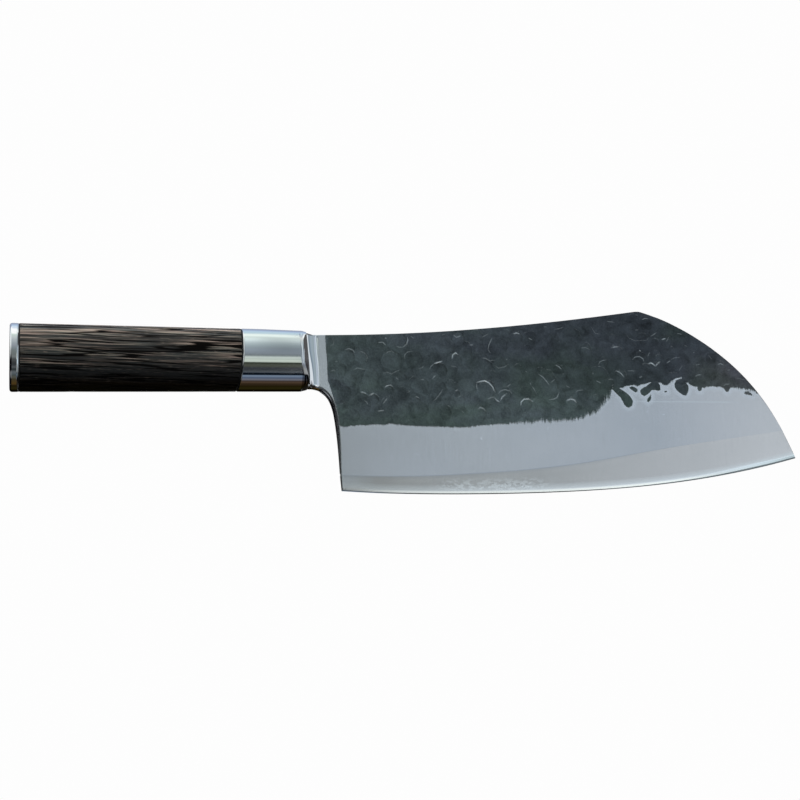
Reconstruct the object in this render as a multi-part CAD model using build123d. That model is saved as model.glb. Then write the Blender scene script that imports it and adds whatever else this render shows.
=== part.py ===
from build123d import *
import math
import os

# Meat cleaver: a three-layer blade with flat upper faces above a ground bevel, a
# stainless bolster welded to it, and a hidden-tang wooden handle clamped between
# the bolster and a stainless end cap.
#
# Frame (mm): origin at the centre of the end cap's flat rear face.
#   +X runs along the handle axis, from the butt to the blade tip.
#   +Z points to the spine, -Z to the cutting edge.
#   +Y is the blade's left side as the knife is held, -Y its right side.
# Names ending in _X0 and _X1 are the rear and front ends of a feature.

# ---------------------------------------------------------------- handle
HANDLE_HALF_H = 13.53      # half height of the handle section at x = 0
HANDLE_TAPER = 0.0087      # loss of half height per mm towards the blade
HANDLE_ASPECT = 0.70       # thickness over height
OVAL_POWER = 2.6           # superellipse power: a rounded oval
OVAL_POINTS = 40           # spline points around an oval
CAP_T = 3.40               # end cap thickness
CAP_ROUND = 1.00           # rounding of the cap's rear rim
CAP_ROUND_STEPS = 5        # straight facets that make up the rounding
CAP_CHAMFER = 0.45         # length along X of the chamfer on the cap's front rim
CAP_CHAMFER_INSET = 0.8 * CAP_CHAMFER
LINER_T = 0.55             # fibre liners at each end of the wood
LINER_RECESS = 0.12        # liners sit slightly below the handle surface
WOOD_X0 = CAP_T + LINER_T
WOOD_X1 = 91.15
FERRULE_X0 = WOOD_X1 + LINER_T
FERRULE_RIM = 0.35         # small chamfer on the ferrule's rear rim
FERRULE_X1 = 115.80        # crease at the front of the ferrule
CHAMFER_X1 = 117.90        # end of the ferrule's front chamfer
CHAMFER_HALF_H = 11.10
CHAMFER_HALF_W = 7.40

# ---------------------------------------------------------------- hidden joint
SOCKET_WALL = 2.20         # wall of the ferrule around the wood tenon
SOCKET_X1 = 103.65         # bottom of the ferrule's rear socket
TENON_END_GAP = 0.50       # from the tenon's front end to the socket bottom
TENON_X1 = SOCKET_X1 - TENON_END_GAP
TENON_ROOT = 2.0           # length of tenon sunk into the wood body
TENON_FIT = 0.05           # glue gap per side around the tenon
ROD_R = 3.00               # M6 tang rod
ROD_X0 = 11.00
ROD_X1 = 111.50
ROD_CHAMFER = 0.6
ROD_END_GAP = 0.1          # extra depth of the rod's hole in the bolster
WOOD_BORE_R = 4.25
COUNTERBORE_R = 6.50
COUNTERBORE_X1 = 20.70
SPIGOT_R = 6.40            # round spigot on the end cap
SPIGOT_X1 = 9.20

# washers and nut, stacked rearwards from the counterbore's bottom
WASHER_R, WASHER_BORE_R, WASHER_T = 6.00, 3.20, 1.60
SPRING_R, SPRING_BORE_R, SPRING_T = 5.90, 3.05, 1.60
SPRING_GAP = 1.10          # width of the spring washer's slit
SPRING_SLIT_ANGLE = 18     # slant of the slit, degrees
SPRING_SLIT_Z = 4.5        # height of the point the slit is turned about
NUT_AF, NUT_T = 10.00, 5.00
NUT_CONE_INSET = 0.75      # corner loss at the nut's end faces
NUT_CONE_SPREAD = 2.4      # cone radius beyond the corners at the opposite face
WASHER_X0 = COUNTERBORE_X1 - WASHER_T
SPRING_X0 = WASHER_X0 - SPRING_T
NUT_X0 = SPRING_X0 - NUT_T

# ---------------------------------------------------------------- blade
JOINT_X = 123.40           # butt joint between bolster and blade
NECK_LOFT_X1 = JOINT_X + 0.5   # front section of the oval that bounds the neck
NECK_LOFT_HALF_H = 14.5
NECK_LOFT_HALF_W = CHAMFER_HALF_W + 0.4
SCOOP_R = 5.05             # radius of the scoops that thin the neck
SCOOP_X1 = 122.90          # where the scoops run out into the blade faces
SCOOP_AHEAD = 10           # length of the scoop cutter beyond the run-out
SCOOP_OUT = 12.0           # reach of the scoop cutter away from the face
SCOOP_HALF_H = 22          # half height of the scoop cutter
PLATE_HALF = 9.0           # half thickness of the blank for neck and blade
REF_X, REF_Z = 127.0, 11.0 # point on the spine by the bolster
REF_HALF = 2.10            # half thickness at that point
TAPER_X = 0.0040           # loss of half thickness per mm towards the tip
TAPER_Z = 0.01558          # gain of half thickness per mm towards the spine
CORE_HALF = 0.58           # half thickness of the hard core layer
EDGE_HALF = 0.05           # half width of the land at the very edge
SHOULDER_HALF = 0.30       # half thickness behind the honed edge bevel
SHOULDER_UP = 0.90         # height of the honed edge bevel
STUB_X0, STUB_Z0, STUB_Z1 = 113.50, -7.0, 6.0    # stub tang of the blade
STUB_HALF = 1.80
STUB_FIT = 0.03            # gap per side around the stub
STUB_END_GAP = 0.2         # gap behind the stub

# reach of the bevel cutters beyond the blade
BEVEL_BELOW = 0.15
BEVEL_ABOVE = 12
BEVEL_OUT = 7.0

OVERLAP = 0.5              # how far fused bodies run into each other
OVERCUT = 1                # how far cutters run past the body they cut
WASHER_OVERCUT = 5         # the same for the washers' bores and slit

# Outline of neck and blade seen from the side, as (x, z) points.
# Spine, from the bolster to the crest:
TOP = [
    (117.90, 11.40), (119.30, 11.12), (120.90, 10.76), (123.40, 10.62),
    (140.0, 11.01), (158.0, 11.82), (176.0, 13.03), (194.0, 14.62),
    (212.0, 16.54), (230.0, 18.75), (248.0, 21.22), (260.8, 23.08),
]
# front curve, from the crest down to the tip:
FRONT = [
    (264.65, 22.85), (272.64, 20.20), (280.05, 16.92), (287.00, 13.16),
    (293.58, 8.98), (299.78, 4.42), (305.59, -0.57), (310.96, -6.03),
    (315.87, -11.99), (320.28, -18.48), (324.22, -25.47), (327.76, -32.90),
    (331.00, -40.45),
]
# cutting edge, from the tip back to the heel:
EDGE = [
    (331.00, -40.64), (322.0, -42.84), (310.0, -45.46), (295.0, -48.22),
    (280.0, -50.43), (265.0, -52.14), (250.0, -53.42), (235.0, -54.33),
    (220.0, -54.94), (205.0, -55.32), (190.0, -55.49), (175.0, -55.48),
    (160.0, -55.25), (145.0, -54.76), (131.00, -53.94),
]
# choil, from the heel up to the bolster:
CHOIL = [
    (130.95, -53.60), (130.55, -48.0), (130.20, -40.0), (129.85, -33.0),
    (129.40, -27.0), (128.90, -23.0), (128.20, -19.3), (127.30, -16.6),
    (126.30, -14.75), (125.00, -13.35), (123.40, -12.30), (120.90, -11.40),
    (119.30, -11.08), (117.90, -11.00),
]
# (x, z) of the line where the ground bevel meets the flat upper face
GROUND = [
    (118.0, -28.0), (150.0, -27.5), (180.0, -26.5), (210.0, -24.5),
    (240.0, -20.0), (270.0, -15.0), (300.0, -12.0), (336.0, -10.0),
]
# x of the sections through the ground bevel
BEVEL_STATIONS = [118, 132, 146, 160, 175, 190, 205, 220, 235, 250, 265, 280, 295, 310, 322, 336]


# ---------------------------------------------------------------- helpers
def interpolate(table, x):
    """Piecewise linear value of a (x, value) table, extended past its ends."""
    points = sorted(table)
    if x <= points[0][0]:
        start, end = points[0], points[1]
    elif x >= points[-1][0]:
        start, end = points[-2], points[-1]
    else:
        for start, end in zip(points, points[1:]):
            if start[0] <= x <= end[0]:
                break
    return start[1] + (end[1] - start[1]) * (x - start[0]) / (end[0] - start[0])


def oval(x, half_h, half_w):
    """Closed superellipse wire in the plane x = const."""
    points = []
    for i in range(OVAL_POINTS):
        angle = 2 * math.pi * i / OVAL_POINTS
        cos, sin = math.cos(angle), math.sin(angle)
        total = abs(cos / half_w) ** OVAL_POWER + abs(sin / half_h) ** OVAL_POWER
        radius = total ** (-1 / OVAL_POWER)
        points.append(Vector(x, radius * cos, radius * sin))
    return Wire([Edge.make_spline(points, periodic=True)])


def oval_loft(rear, front):
    """Ruled solid between two ovals, each given as (x, half_h, half_w)."""
    return Solid.make_loft([oval(*rear), oval(*front)], True)


def oval_bar(x0, x1, half_h, half_w):
    """Solid of constant oval section."""
    return oval_loft((x0, half_h, half_w), (x1, half_h, half_w))


def handle_section(x, inset=0.0):
    """(x, half_h, half_w) of the tapering handle, shrunk by an inset."""
    half_h = HANDLE_HALF_H - HANDLE_TAPER * x
    return x, half_h - inset, HANDLE_ASPECT * half_h - inset


def handle_slice(stations):
    """Slice of the handle through (x, inset) stations, one segment per pair."""
    body = None
    for rear, front in zip(stations, stations[1:]):
        segment = oval_loft(handle_section(*rear), handle_section(*front))
        body = segment if body is None else body.fuse(segment)
    return body


def along_x(x, direction=1):
    """Plane centred on the handle axis, facing along +X or -X."""
    return Plane(origin=(x, 0, 0), x_dir=(0, 1, 0), z_dir=(direction, 0, 0))


def rod(x0, x1, radius):
    """Cylinder along X."""
    return Solid.make_cylinder(radius, x1 - x0, along_x(x0))


def block(x0, x1, y0, y1, z0, z1):
    return Solid.make_box(x1 - x0, y1 - y0, z1 - z0, Plane(origin=(x0, y0, z0)))


def spline(points, **options):
    """Spline through (x, z) points in the plane y = 0."""
    return Edge.make_spline([Vector(x, 0, z) for x, z in points], **options)


def line(start, end):
    """Line between two (x, z) points in the plane y = 0."""
    return Edge.make_line(Vector(start[0], 0, start[1]), Vector(end[0], 0, end[1]))


def one(shape):
    """The single solid in a boolean result."""
    solids = shape.solids()
    assert len(solids) == 1, f"expected one solid, found {len(solids)}"
    return solids[0]


# The socket is straight, sized from the handle section at the ferrule's rear.
_, SOCKET_HALF_H, SOCKET_HALF_W = handle_section(FERRULE_X0, SOCKET_WALL)


# ---------------------------------------------------------------- handle pieces
def end_cap():
    """Oval disc with a rounded rear rim, a chamfered front rim and a round spigot."""
    stations = []
    for i in range(CAP_ROUND_STEPS, -1, -1):
        angle = math.pi / 2 * i / CAP_ROUND_STEPS
        stations.append((CAP_ROUND * (1 - math.sin(angle)), CAP_ROUND * (1 - math.cos(angle))))
    stations += [(CAP_T - CAP_CHAMFER, 0.0), (CAP_T, CAP_CHAMFER_INSET)]
    return one(handle_slice(stations).fuse(rod(CAP_T - OVERLAP, SPIGOT_X1, SPIGOT_R)))


def liner(x0, x1, hole):
    return one(handle_slice([(x0, LINER_RECESS), (x1, LINER_RECESS)]).cut(hole))


def rear_liner():
    return liner(CAP_T, WOOD_X0, rod(CAP_T - OVERCUT, WOOD_X0 + OVERCUT, COUNTERBORE_R))


def front_liner():
    hole = oval_bar(WOOD_X1 - OVERCUT, FERRULE_X0 + OVERCUT, SOCKET_HALF_H, SOCKET_HALF_W)
    return liner(WOOD_X1, FERRULE_X0, hole)


def handle_wood():
    """Wood with a front tenon, a through bore and a rear counterbore."""
    tenon = oval_bar(WOOD_X1 - TENON_ROOT, TENON_X1,
                     SOCKET_HALF_H - TENON_FIT, SOCKET_HALF_W - TENON_FIT)
    wood = handle_slice([(WOOD_X0, 0.0), (WOOD_X1, 0.0)]).fuse(tenon)
    wood = wood.cut(rod(0, TENON_X1 + OVERCUT, WOOD_BORE_R))
    return one(wood.cut(rod(0, COUNTERBORE_X1, COUNTERBORE_R)))


# ---------------------------------------------------------------- neck and blade blank
def blank_plate():
    """Thick plate with the outline of neck and blade."""
    top = spline(TOP)
    front = spline(FRONT)
    # rounded corner where the rising spine meets the sweeping front curve
    crest = spline([TOP[-1], FRONT[0]], tangents=[top.tangent_at(1), front.tangent_at(0)])
    outline = Face(Wire([
        top, crest, front, line(FRONT[-1], EDGE[0]),
        spline(EDGE), line(EDGE[-1], CHOIL[0]),
        spline(CHOIL), line(CHOIL[-1], TOP[0]),
    ]))
    return Solid.extrude(outline.moved(Location((0, -PLATE_HALF, 0))),
                         Vector(0, 2 * PLATE_HALF, 0))


def face_half(x, z):
    """Half thickness of the blade on its flat upper faces."""
    return REF_HALF - TAPER_X * (x - REF_X) + TAPER_Z * (z - REF_Z)


def face_plane(side, x=REF_X, z=REF_Z):
    """Outward plane of a blade face; side -1 is the right face, +1 the left."""
    return Plane(origin=(x, side * face_half(x, z), z), x_dir=(1, side * -TAPER_X, 0),
                 z_dir=(TAPER_X, side, -TAPER_Z))


def scoop(side):
    """Cutter for one side of the neck: a concave radius that runs out
    tangent into the blade's flat face."""
    plane = face_plane(side, SCOOP_X1, 0.0)
    outward, ahead = plane.z_dir, plane.x_dir
    up = Vector(0, side * TAPER_Z, 1).normalized()
    run_out = plane.origin
    centre = run_out + outward * SCOOP_R
    rear = centre - ahead * SCOOP_R
    diagonal = SCOOP_R * math.cos(math.pi / 4)
    middle = centre - ahead * diagonal - outward * diagonal
    front = run_out + ahead * SCOOP_AHEAD
    out = outward * SCOOP_OUT
    profile = Face(Wire([
        Edge.make_three_point_arc(rear, middle, run_out),
        Edge.make_line(run_out, front),
        Edge.make_line(front, front + out),
        Edge.make_line(front + out, rear + out),
        Edge.make_line(rear + out, rear),
    ]))
    profile = profile.moved(Location(up * -SCOOP_HALF_H))
    return Solid.extrude(profile, up * (2 * SCOOP_HALF_H))


def bolster(plate):
    """Hollow ferrule, front chamfer, and a neck scooped down to the blade's
    thickness, with sockets for the tenon, the rod and the stub tang."""
    ferrule = handle_slice([(FERRULE_X0, FERRULE_RIM), (FERRULE_X0 + FERRULE_RIM, 0.0),
                            (FERRULE_X1, 0.0)])
    chamfer_end = (CHAMFER_X1, CHAMFER_HALF_H, CHAMFER_HALF_W)
    front_chamfer = oval_loft(handle_section(FERRULE_X1), chamfer_end)
    neck_bound = oval_loft(chamfer_end, (NECK_LOFT_X1, NECK_LOFT_HALF_H, NECK_LOFT_HALF_W))
    neck = plate.intersect(neck_bound).solids()[0]
    neck = neck.intersect(block(CHAMFER_X1 - OVERCUT, JOINT_X, -20, 20, -30, 30)).solids()[0]
    for side in (-1, 1):
        neck = neck.cut(scoop(side))
    body = ferrule.fuse(front_chamfer).fuse(neck)
    body = body.cut(oval_bar(FERRULE_X0 - OVERCUT, SOCKET_X1, SOCKET_HALF_H, SOCKET_HALF_W))
    body = body.cut(rod(SOCKET_X1 - OVERCUT, ROD_X1 + ROD_END_GAP, ROD_R))
    stub_half = STUB_HALF + STUB_FIT
    return one(body.cut(block(STUB_X0 - STUB_END_GAP, JOINT_X + OVERCUT, -stub_half, stub_half,
                              STUB_Z0 - STUB_FIT, STUB_Z1 + STUB_FIT)))


def bevel_cutter(side):
    """Body ground away from one side of the blade, from the ground line
    down to the edge, with the honed edge bevel at its foot."""
    honed_slope = (SHOULDER_HALF - EDGE_HALF) / SHOULDER_UP
    sections = []
    for x in BEVEL_STATIONS:
        edge_z = interpolate(EDGE, x)
        ground_z = interpolate(GROUND, x)
        ground_half = face_half(x, ground_z)
        shoulder_z = edge_z + SHOULDER_UP
        slope = (ground_half - SHOULDER_HALF) / (ground_z - shoulder_z)
        bottom_z, top_z = edge_z - BEVEL_BELOW, ground_z + BEVEL_ABOVE
        points = [
            (EDGE_HALF - honed_slope * BEVEL_BELOW, bottom_z),
            (SHOULDER_HALF, shoulder_z),
            (ground_half + slope * BEVEL_ABOVE, top_z),
            (BEVEL_OUT, top_z),
            (BEVEL_OUT, bottom_z),
        ]
        sections.append(Wire.make_polygon([Vector(x, side * y, z) for y, z in points],
                                          close=True))
    return Solid.make_loft(sections, False)


def full_blade(plate):
    """Tapered and bevelled blade with its stub tang, before layering."""
    blade = plate.cut(block(100, JOINT_X, -20, 20, -40, 40))
    for side in (-1, 1):
        blade = blade.split(face_plane(side), keep=Keep.BOTTOM)
    for side in (-1, 1):
        blade = blade.cut(bevel_cutter(side))
    return one(blade.fuse(block(STUB_X0, JOINT_X + OVERLAP, -STUB_HALF, STUB_HALF,
                                STUB_Z0, STUB_Z1)))


def blade_layer(blade, y0, y1):
    return one(blade.intersect(block(100, 340, y0, y1, -80, 60)))


# ---------------------------------------------------------------- tang hardware
def tang_rod():
    """Rod with chamfered ends, from the nut to the bolster."""
    tang = rod(ROD_X0, ROD_X1, ROD_R)
    rims = [edge for edge in tang.edges() if edge.geom_type == GeomType.CIRCLE]
    return one(tang.chamfer(ROD_CHAMFER, None, rims))


def washer(x0, x1, radius, bore_radius):
    bore = rod(x1 - WASHER_OVERCUT, x1 + WASHER_OVERCUT, bore_radius)
    return one(rod(x0, x1, radius).cut(bore))


def spring_washer():
    """Washer with a slanted slit through its upper side."""
    ring = washer(SPRING_X0, WASHER_X0, SPRING_R, SPRING_BORE_R)
    slit = block(WASHER_X0 - WASHER_OVERCUT, WASHER_X0 + WASHER_OVERCUT,
                 -SPRING_GAP / 2, SPRING_GAP / 2, 0, 10)
    slit = slit.rotate(Axis((WASHER_X0, 0, SPRING_SLIT_Z), (0, 0, 1)), SPRING_SLIT_ANGLE)
    return one(ring.cut(slit))


def tang_nut():
    """Hexagon nut with its corners coned off at both ends."""
    corner_r = NUT_AF / math.sqrt(3)
    angles = [math.radians(60 * i) for i in range(6)]
    hexagon = Wire.make_polygon(
        [Vector(NUT_X0, corner_r * math.cos(angle), corner_r * math.sin(angle))
         for angle in angles], close=True)
    nut = Solid.extrude(Face(hexagon), Vector(NUT_T, 0, 0))
    for plane in (along_x(NUT_X0), along_x(SPRING_X0, -1)):
        cone = Solid.make_cone(corner_r - NUT_CONE_INSET, corner_r + NUT_CONE_SPREAD,
                               NUT_T, plane)
        nut = one(nut.intersect(cone))
    return one(nut.cut(rod(NUT_X0 - OVERCUT, SPRING_X0 + OVERCUT, ROD_R)))


def bore_epoxy():
    """Cured glue that fills the bore around the tang rod."""
    return one(rod(COUNTERBORE_X1, SOCKET_X1, WOOD_BORE_R).cut(rod(0, 200, ROD_R)))


# ---------------------------------------------------------------- build and export
plate = blank_plate()
blade = full_blade(plate)

parts = {
    "end_cap": end_cap(),
    "rear_liner": rear_liner(),
    "front_liner": front_liner(),
    "handle_wood": handle_wood(),
    "bolster": bolster(plate),
    "core_steel": blade_layer(blade, -CORE_HALF, CORE_HALF),
    "cladding_right": blade_layer(blade, -10, -CORE_HALF),
    "cladding_left": blade_layer(blade, CORE_HALF, 10),
    "tang_rod": tang_rod(),
    "flat_washer": washer(WASHER_X0, COUNTERBORE_X1, WASHER_R, WASHER_BORE_R),
    "spring_washer": spring_washer(),
    "tang_nut": tang_nut(),
    "bore_epoxy": bore_epoxy(),
}

os.makedirs("parts", exist_ok=True)
for name, solid in parts.items():
    solid.label = name
    export_step(solid, f"parts/{name}.step")
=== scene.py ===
import math

import bmesh
import bpy
import numpy as np
from mathutils import Matrix, Vector


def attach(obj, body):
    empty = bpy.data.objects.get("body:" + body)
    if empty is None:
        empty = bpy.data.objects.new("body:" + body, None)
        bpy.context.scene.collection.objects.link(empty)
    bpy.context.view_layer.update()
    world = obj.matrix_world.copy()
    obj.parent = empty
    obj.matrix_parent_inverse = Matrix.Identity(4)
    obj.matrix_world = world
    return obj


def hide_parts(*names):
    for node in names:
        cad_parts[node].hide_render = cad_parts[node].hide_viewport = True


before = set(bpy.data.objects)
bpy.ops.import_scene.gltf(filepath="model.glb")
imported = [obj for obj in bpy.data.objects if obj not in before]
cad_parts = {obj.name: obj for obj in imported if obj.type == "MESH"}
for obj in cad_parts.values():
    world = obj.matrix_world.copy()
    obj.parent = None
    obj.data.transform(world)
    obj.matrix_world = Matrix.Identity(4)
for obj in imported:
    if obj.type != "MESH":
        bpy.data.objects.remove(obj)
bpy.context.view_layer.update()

MM = 0.001
BODY = "root"

# =====================================================================
# Shape data, in millimetres, in the frame of the CAD model
# =====================================================================
HANDLE_HALF_H, HANDLE_TAPER, HANDLE_ASPECT, POWER = 13.53, 0.0087, 0.70, 2.6
CAP_T, CAP_ROUND, CAP_CHAMFER = 3.40, 1.00, 0.52
LINER_T, LINER_RECESS = 0.55, 0.12
WOOD_X0, WOOD_X1 = 3.95, 91.15
FERRULE_X0, FERRULE_RIM, FERRULE_X1 = 91.70, 0.35, 115.80
CHAMFER_X1, CHAMFER_H, CHAMFER_W, CHAMFER_LOW = 117.90, 11.72, 7.40, 11.60
SOCKET_X1, TENON_X1, TENON_FIT = 103.65, 103.15, 0.05
ROD_R, ROD_END = 3.00, 111.60
WOOD_BORE, COUNTERBORE, COUNTERBORE_X1 = 4.25, 6.50, 20.70
SPIGOT_R, SPIGOT_X1 = 6.40, 9.20
JOINT_X, NECK_R, NECK_X = 123.40, 10.6, 123.35
SPINE_H0, TAPER_X, TAPER_Z, REF_X, REF_Z = 2.10, 0.0040, 0.01558, 127.0, 11.0
CORE = 0.58
STUB_X0, STUB_Z0, STUB_Z1, STUB_H = 113.50, -7.0, 6.0, 1.80

TOP = [(117.90, 11.66), (119.30, 11.00), (120.90, 10.64), (123.40, 10.58), (140.0, 11.01), (158.0, 11.82),
       (176.0, 13.03), (194.0, 14.62), (212.0, 16.54), (230.0, 18.75), (248.0, 21.22), (260.8, 23.08)]
FRONT = [(264.65, 22.85), (272.64, 20.20), (280.05, 16.92), (287.00, 13.16), (293.58, 8.98), (299.78, 4.42),
         (305.59, -0.57), (310.96, -6.03), (315.87, -11.99), (320.28, -18.48), (324.22, -25.47),
         (327.76, -32.90), (330.98, -40.50)]
EDGE = [(131.00, -53.94), (145.0, -54.76), (160.0, -55.25), (175.0, -55.48), (190.0, -55.49), (205.0, -55.32),
        (220.0, -54.94), (235.0, -54.33), (250.0, -53.42), (265.0, -52.14), (280.0, -50.43), (295.0, -48.22),
        (310.0, -45.46), (322.0, -42.84), (330.98, -40.62)]
CHOIL = [(131.00, -53.94), (130.56, -48.0), (130.20, -40.0), (129.80, -33.0), (129.25, -27.0), (128.74, -23.0),
         (127.98, -19.50), (127.00, -16.9), (125.95, -15.15), (124.70, -13.85), (123.40, -12.90),
         (120.90, -11.98), (119.30, -11.63), (117.90, -11.55)]
JOINT_LOW = -12.90
# where the core steel meets the cladding on the ground bevel
LAM = [(128.0, -47.8), (148.0, -48.1), (168.0, -48.0), (183.0, -47.3), (200.0, -46.3), (215.0, -45.0),
       (230.0, -43.3), (245.0, -41.0), (262.0, -38.0), (276.0, -35.7), (300.0, -32.2), (330.0, -28.0)]
# line where the ground bevel runs out into the flat upper face
GROUND = [(118.0, -27.6), (150.0, -27.3), (180.0, -27.2), (205.0, -25.8), (228.0, -22.6), (248.0, -15.8),
          (268.0, -10.6), (290.0, -9.2), (336.0, -10.8)]
# ragged lower border of the black forge scale
SCALE_EDGE = [(118.0, -27.2), (130.4, -26.6), (131.4, -27.6), (133.1, -27.8), (136.0, -27.3), (139.3, -26.9),
              (141.8, -27.1), (145.6, -26.6), (149.8, -26.8), (151.7, -26.1), (154.4, -26.6), (158.1, -27.0),
              (164.9, -27.3), (172.9, -27.4), (179.3, -27.7), (184.0, -27.6), (190.0, -26.9), (198.3, -26.2),
              (205.2, -25.8), (212.6, -25.3), (216.2, -24.5), (222.8, -24.6), (227.2, -24.4), (230.7, -24.0),
              (235.2, -22.9), (238.4, -21.8), (241.6, -20.7), (244.5, -17.4), (245.9, -15.7), (247.9, -13.1),
              (249.0, -10.4), (251.0, -10.4), (252.5, -10.4), (254.0, -10.3), (255.6, -9.6), (257.4, -9.3),
              (259.1, -9.0), (260.6, -9.6), (261.9, -9.1), (263.2, -8.7), (265.2, -8.1), (267.3, -7.6),
              (269.3, -7.5), (270.5, -8.0), (271.3, -8.0), (272.5, -9.0), (273.7, -9.2), (275.1, -8.2),
              (276.4, -7.3), (277.9, -7.3), (283.5, -7.9), (284.7, -8.9), (285.6, -9.3), (286.9, -9.6),
              (288.2, -9.3), (290.4, -10.0), (292.5, -9.5), (295.1, -9.4), (297.1, -9.5), (299.2, -9.7),
              (300.4, -9.9), (302.5, -9.9), (303.8, -9.7), (305.8, -9.9), (308.9, -10.4), (312.0, -10.7),
              (314.0, -11.3), (315.0, -12.0), (320.0, -12.6)]
SCALE_REAR = [(-60.0, 131.6), (-27.0, 130.6), (-25.2, 130.3), (-20.8, 129.7), (-15.8, 128.8), (-12.5, 127.8),
              (-8.7, 126.6), (-0.8, 126.5), (3.4, 126.2), (9.9, 126.1), (14.0, 126.0)]
# hammer marks too deep for the grinding to reach keep their scale
ISLANDS = [
    [(248.0, -10.4), (249.7, -11.7), (251.1, -13.1), (252.5, -14.5), (253.6, -16.6), (254.5, -18.4),
     (255.9, -18.9), (257.5, -18.1), (258.0, -16.1), (257.0, -14.2), (255.6, -12.8), (254.2, -11.8),
     (252.5, -10.8), (251.1, -9.6)],
    [(256.8, -10.1), (257.8, -9.7), (259.3, -10.1), (260.5, -11.0), (260.3, -12.0), (259.4, -12.3),
     (258.2, -11.4), (257.1, -10.7)],
    [(261.7, -11.3), (262.5, -10.5), (264.1, -9.8), (265.7, -8.6), (267.3, -7.6), (269.8, -7.5), (270.8, -9.2),
     (270.8, -11.2), (269.8, -11.5), (268.5, -11.2), (267.0, -11.2), (266.2, -11.9), (264.8, -13.1),
     (263.3, -13.9), (262.1, -13.1), (261.6, -12.1)],
    [(264.7, -14.9), (265.8, -13.9), (266.4, -12.8), (266.3, -14.8), (265.9, -15.8), (264.8, -16.6),
     (264.1, -15.8)],
    [(277.4, -8.2), (278.2, -7.2), (279.5, -6.6), (281.2, -7.0), (282.9, -8.1), (283.7, -9.1), (283.8, -10.6),
     (283.2, -12.3), (282.3, -13.5), (281.0, -13.3), (279.6, -12.3), (278.1, -11.0), (277.4, -9.7)],
    [(288.1, -8.8), (290.0, -9.8), (289.5, -11.3), (288.3, -11.5), (287.8, -10.3)],
    [(299.8, -8.7), (303.6, -8.7), (302.8, -10.4), (301.7, -11.8), (300.8, -11.5), (300.1, -10.3)],
    [(272.3, -11.6), (273.5, -11.5), (274.0, -11.9), (273.0, -12.1)],
    [(309.0, -12.1), (310.9, -11.3), (312.6, -12.2), (313.3, -13.3), (311.8, -13.0), (309.7, -12.7)],
]
# bright steel that runs up between them
NOTCHES = [
    [(246.1, -17.2), (246.7, -15.7), (247.8, -14.5), (249.1, -13.4), (250.0, -12.5), (250.7, -13.1),
     (251.8, -14.6), (253.0, -16.9), (253.4, -18.4), (251.9, -19.8), (248.4, -19.8)],
    [(275.5, -7.3), (277.0, -6.6), (278.8, -5.8), (281.0, -5.6), (280.9, -6.0), (279.3, -6.4), (278.0, -7.0),
     (277.0, -7.6)],
    [(271.3, -8.0), (272.2, -9.1), (273.7, -9.3), (275.1, -8.3), (276.1, -7.6), (277.3, -8.2), (277.3, -9.7),
     (278.1, -11.0), (278.6, -11.8), (274.0, -12.4), (271.0, -11.9)],
    [(261.9, -9.1), (263.2, -8.7), (265.2, -8.1), (264.7, -9.0), (263.1, -9.9), (262.0, -10.7), (261.3, -10.3)],
]
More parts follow.
